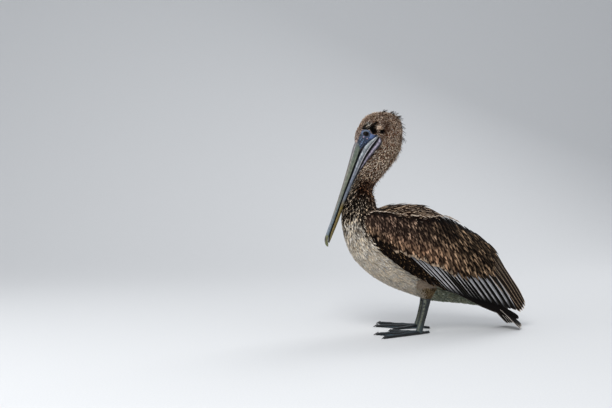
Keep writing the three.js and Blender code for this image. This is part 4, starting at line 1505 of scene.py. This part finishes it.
def tuft_batch(roots, length, half, paint, exposed, seed, lift, grain, root_shade, thick=0.0005, fringe=0.25):
    """Body feathers laid from their roots. exposed is the share of each that shows past the next one,
    lift how far their tips stand out, and thick the height of their shafts."""
    dice = np.random.default_rng(seed)
    a, b = roots
    count = len(a)
    length = length * dice.uniform(0.8, 1.2, count)
    raised = lift * (3 * dice.uniform(0, 1, count) ** 4 - 0.1)
    depths = [coat_depth(a) * (1 - 0.93 * s**0.8) - raised * s**2 for s in TUFT_STATIONS]
    lines, normals = lay(body_surface, a, b, length, body_lie(dice.normal(0, 0.16, count)), depths)
    half = half * dice.uniform(0.8, 1.2, count)
    dim = dice.uniform(0, 1, count) < 0.35
    shaded = np.where(dim, dice.uniform(0.6, 1, count), dice.uniform(0, 0.25, count))
    coloured = paint[0].mean(1) < 0.58
    return {
        "blades": vanes(lines, normals, half, TUFT_PROFILE, thick, camber=0.2),
        "stations": TUFT_STATIONS,
        "places": on_skin(a, b),
        "deep": paint[0],
        "light": paint[1],
        "fringe": fringe * dice.uniform(0.4, 1.4, count),
        "tipped": exposed * dice.uniform(0.15, 0.90, count),
        "grain": shaded * grain * coloured,
        # Painted shade on the roots that the next feathers lie over, only where the ground tone is dark.
        "root_shade": root_shade * coloured,
    }


def painted(roots, reach, fine, mottle, loose=0.5):
    """The plumage tones at the feathers' tips, reach metres down the body from their roots, with the
    places strewn by the share loose of that. fine is how fine the lighter and darker clumps are, and
    mottle how strong."""
    a, b = roots
    _, _, along, _ = tangents(body_surface, a, b)
    dice = np.random.default_rng(len(a))
    stray = dice.normal(0, loose * reach, len(a))
    tip = np.clip(a - (reach + stray) / np.linalg.norm(along, axis=-1), 0, 1)
    beside = b + dice.normal(0, 0.10 * loose, len(a))
    deep, light = plumage(body_surface(tip, beside), tip, beside)
    warmth = dice.uniform(-1, 1, (len(a), 1)) * np.array([0.10, 0.04, -0.06])
    clump = 1 + np.clip(mottle * ripple(body_surface(tip, b), fine, 23), -0.75, 0.8)[:, None]
    speckled = smooth(0.33, 0.38, a) * smooth(0.58, 0.53, a) * smooth(0.30, 0.06, deep.mean(1))
    dim = (dice.uniform(0, 1, len(a)) < 0.15 * smooth(0.36, 0.40, a) + 0.40 * speckled)[:, None]
    deep = deep * (1 + warmth) * clump * (1 - 0.45 * dim)
    light = light * (1 + warmth) * clump * dice.uniform(0.6, 1.1, (len(a), 1))
    return deep, light * (1 - dim * (0.55 + 0.35 * speckled[:, None]))


def under_wing(points):
    """True where the folded wing hides the body, less a margin at the wing's rim."""
    x, y, z = np.moveaxis(points - STAND, -1, 0)
    top = np.interp(x, [-0.26, -0.19, -0.06, 0.05, 0.15, 0.176], [0.17, 0.26, 0.31, 0.315, 0.315, 0.295])
    return (x < 0.150) & (z > wing_floor(x) + 0.020) & (z < top - 0.012) & (np.abs(y) > 0.024)


def trunk_spacing(points, t, turn):
    """Fine on breast and belly, and none under the folded wings."""
    apart = np.interp(t, [0.0, 0.15, 0.35, 0.47], [0.0040, 0.0048, 0.0046, 0.0044])
    return np.where(under_wing(points) | ((np.cos(turn) > 0.42) & (t < 0.44)), NONE_HERE, apart)


def back_spacing(points, t, turn):
    """Broad feathers on the back, from the neck's foot to the rump."""
    hidden = under_wing(points) & ((points - STAND)[..., 0] < -0.02)
    return np.where((np.cos(turn) > 0.22) & ~hidden, 0.0092, NONE_HERE)


def neck_spacing(points, t, turn):
    """Finer and finer up the neck."""
    return np.interp(t, [0.46, 0.62, 0.72], [0.0038, 0.0030, 0.0026])


def head_spacing(points, t, turn):
    """Finest on the face, and none on the bare patch, under the bill's root or under the jaws."""
    x, _, z = np.moveaxis(points - STAND - BILL_BASE, -1, 0)
    rise = x * BILL_RISE[0] + z * BILL_RISE[2]
    s = x * BILL_FORWARD[0] + z * BILL_FORWARD[2]
    top = np.interp(s, [-0.034, -0.020, 0.002, 0.036], [-0.046, -0.036, -0.019, -0.015])
    bottom = np.interp(s, [-0.030, -0.017, 0.008, 0.038, 0.080], [-0.063, -0.071, -0.060, -0.046, -0.030])
    jaw = (rise < top) & (rise > bottom) & (s > -0.033)
    hidden = (bareness(points) > 0.4) | (jaw & (t > 0.7)) | (t > 0.985)
    return np.where(hidden, NONE_HERE, np.interp(t, [0.68, 0.8, 0.95], [0.0026, 0.0022, 0.0017]))


tuft_paint = plumage_material("tuft_vane", barbs=10, gloss=0.0)
roots = scatter(body_surface, (0.004, 0.475), FULL_TURN, trunk_spacing)
breast = smooth(0.30, 0.38, roots[0])
belly = tuft_batch(
    roots,
    length=0.021,
    half=0.0026,
    paint=painted(roots, 0.021, fine=460, mottle=0.06 + 0.50 * breast),
    exposed=0.24,
    seed=81,
    lift=0.0008,
    grain=0.3,
    root_shade=0.16 + 0.6 * breast,
)
roots = scatter(body_surface, (0.03, 0.47), FULL_TURN, back_spacing)
back = tuft_batch(
    roots,
    length=0.050,
    half=0.0044,
    paint=painted(roots, 0.030, fine=260, mottle=0.4),
    exposed=0.06,
    seed=83,
    lift=0.0022,
    grain=0.7,
    root_shade=0.5,
    thick=0.0008,
    fringe=0.36,
)
roots = scatter(body_surface, (0.45, 0.70), FULL_TURN, neck_spacing)
neck = tuft_batch(
    roots,
    length=0.0135,
    half=0.0015,
    paint=painted(roots, 0.013, fine=700, mottle=0.5),
    exposed=0.38,
    seed=84,
    lift=0.0036,
    grain=0.6,
    root_shade=0.65,
    fringe=0.16,
)
roots = scatter(body_surface, (0.69, 0.988), FULL_TURN, head_spacing)
face = smooth(0.80, 0.96, roots[0])
head = tuft_batch(
    roots,
    length=0.0088 - 0.0044 * face,
    half=0.0011 - 0.0004 * face,
    paint=painted(roots, 0.007, fine=1000, mottle=0.5, loose=0.2),
    exposed=0.40,
    seed=85,
    lift=0.0018,
    grain=0.6,
    root_shade=0.45,
    fringe=0.16,
)
for name, batch, where in (
    ("coat_trunk", belly, "brown_plumage"),
    ("coat_back", back, "brown_plumage"),
    ("coat_neck", neck, "neck_plumage"),
    ("coat_head", head, "brown_plumage"),
):
    coat = feather_piece(name, [batch], tuft_paint, sharp=name == "coat_back")

# The thighs' short feathers point down to the ankle.
thigh_batches = []
for seed, low, leg in ((86, 0.0, LEGS["left"]), (87, 0.5, LEGS["right"])):
    thigh = thigh_surface(leg)
    a, b = scatter(thigh, (0.3, 0.985), FULL_TURN, lambda points, a, b: 0.0028)
    dice = np.random.default_rng(seed)
    count = len(a)
    depths = [THIGH_DEPTH * (1 - 0.9 * s) + 0 * a for s in TUFT_STATIONS]
    down = wing_lie(90.0 + dice.normal(0, 9, count))
    lines, normals = lay(thigh, a, b, dice.uniform(0.008, 0.012, count), down, depths)
    shade = dice.uniform(0, 1, count)
    ahead = smooth(0.2, 0.9, np.cos(b) + dice.normal(0, 0.25, count))
    thigh_batches.append({
        "blades": vanes(lines, normals, 0.0015, TUFT_PROFILE, thick=0.0004, camber=0.2),
        "stations": TUFT_STATIONS,
        "places": np.stack([a * 0.4 + low, b / (2 * math.pi)], -1),
        "deep": layered(tone(22, 16, 11), (tone(116, 98, 72), shade), (tone(160, 150, 134), ahead)),
        "light": blend(tone(164, 142, 108), tone(210, 200, 182), ahead),
        "fringe": 0.2,
        "tipped": 0.15,
        "grain": dice.uniform(0, 0.8, count),
    })
thigh_coat = feather_piece("coat_thighs", thigh_batches, tuft_paint, sharp=False)

# The crest: thin dark wisps that stand off the hind crown and nape, several to each of 60 clumps.
WISPS = 190
CLUMPS = 60
dice = np.random.default_rng(88)
member = dice.integers(0, CLUMPS, WISPS)
a = dice.uniform(0.712, 0.838, CLUMPS)[member] + dice.normal(0, 0.0012, WISPS)
b = dice.normal(0, 0.50, CLUMPS)[member] + dice.normal(0, 0.022, WISPS)
point, normal, along, _ = tangents(body_surface, a, b, 0.001)
sweep = unit(-along) * dice.uniform(0.35, 0.85, (CLUMPS, 1))[member]
sweep = sweep + normal * dice.uniform(0.45, 1.0, (CLUMPS, 1))[member]
sweep = unit(sweep + dice.normal(0, 0.045, (WISPS, 3)))
long = (dice.uniform(0.013, 0.021, CLUMPS)[member] * dice.uniform(0.75, 1.0, WISPS))[:, None, None]
s = TUFT_STATIONS[None, :, None]
lines = point[:, None] + sweep[:, None] * s * long - UP * s**2 * long * 0.12
normals = np.broadcast_to(np.cross(np.cross(sweep, normal), sweep)[:, None], lines.shape)
half = 0.0006 + 0.0009 * dice.uniform(0, 1, WISPS) ** 2
wisps = {
    "blades": vanes(lines, normals, half, np.array([1.0, 1.0, 0.8, 0.5]), thick=0.0005, camber=0.1),
    "stations": TUFT_STATIONS,
    "places": on_skin(a, b),
    "deep": blend(tone(16, 11, 9), tone(66, 50, 40), dice.uniform(0, 1, WISPS) ** 2),
    "light": tone(92, 74, 60),
    "fringe": 0.1,
    "tipped": 0.1,
    "grain": dice.uniform(0, 0.6, WISPS),
}
crest = feather_piece("coat_crest", [wisps], tuft_paint, sharp=False)

# ---- Floor and light ----
# A plain pale floor that curves up far behind the bird, a large soft lamp high on the camera's side, a
# weaker one from the bill's side and a pale sky all round.
# The floor's half width, and where it begins to curve up.
FLOOR_HALF = 7.0
FLOOR_BEND = -1.2
floor_y = np.concatenate([[6.0, 2.0, 0.0], np.linspace(FLOOR_BEND, -5.0, 60)])
floor_z = 0.10 * np.maximum(FLOOR_BEND - floor_y, 0) ** 3
floor_x = np.tile([-FLOOR_HALF, FLOOR_HALF], len(floor_y))
floor_points = np.stack([floor_x, np.repeat(floor_y, 2), np.repeat(floor_z, 2)], -1)
floor = make_mesh("floor", floor_points, [grid_faces(len(floor_y), 2, False)])
floor_material, tree, shader = new_material("studio_floor", Roughness=0.85, Specular_IOR_Level=0.2)
paint = mixed(tree, (0.62, 0.63, 0.64, 1), (0.70, 0.71, 0.72, 1), noise(tree, 260.0, 4))
tree.links.new(paint, shader.inputs["Base Color"])
floor.data.materials.append(floor_material)

# Each lamp: name, place, side in metres, power in watts.
LAMPS = (
    ("key", (1.2, 2.2, 2.6), 1.6, 75),
    ("fill", (2.2, 0.4, 1.2), 1.6, 14),
    ("rim", (-1.6, -1.6, 2.4), 1.4, 30),
)
# The lamps point at the bird's middle.
LIT = Vector((0, 0, 0.3))
for name, spot_at, size, power in LAMPS:
    lamp = bpy.data.lights.new(name, "AREA")
    lamp.size = size
    lamp.energy = power
    lamp_object = bpy.data.objects.new(name, lamp)
    lamp_object.location = spot_at
    lamp_object.rotation_euler = (LIT - Vector(spot_at)).to_track_quat("-Z", "Y").to_euler()
    bpy.context.collection.objects.link(lamp_object)
world = bpy.data.worlds.new("sky")
world.use_nodes = True
sky = world.node_tree.nodes["Background"]
sky.inputs["Color"].default_value = (0.92, 0.95, 1.0, 1)
sky.inputs["Strength"].default_value = 0.55
bpy.context.scene.world = world
bpy.context.scene.view_settings.view_transform = "Standard"
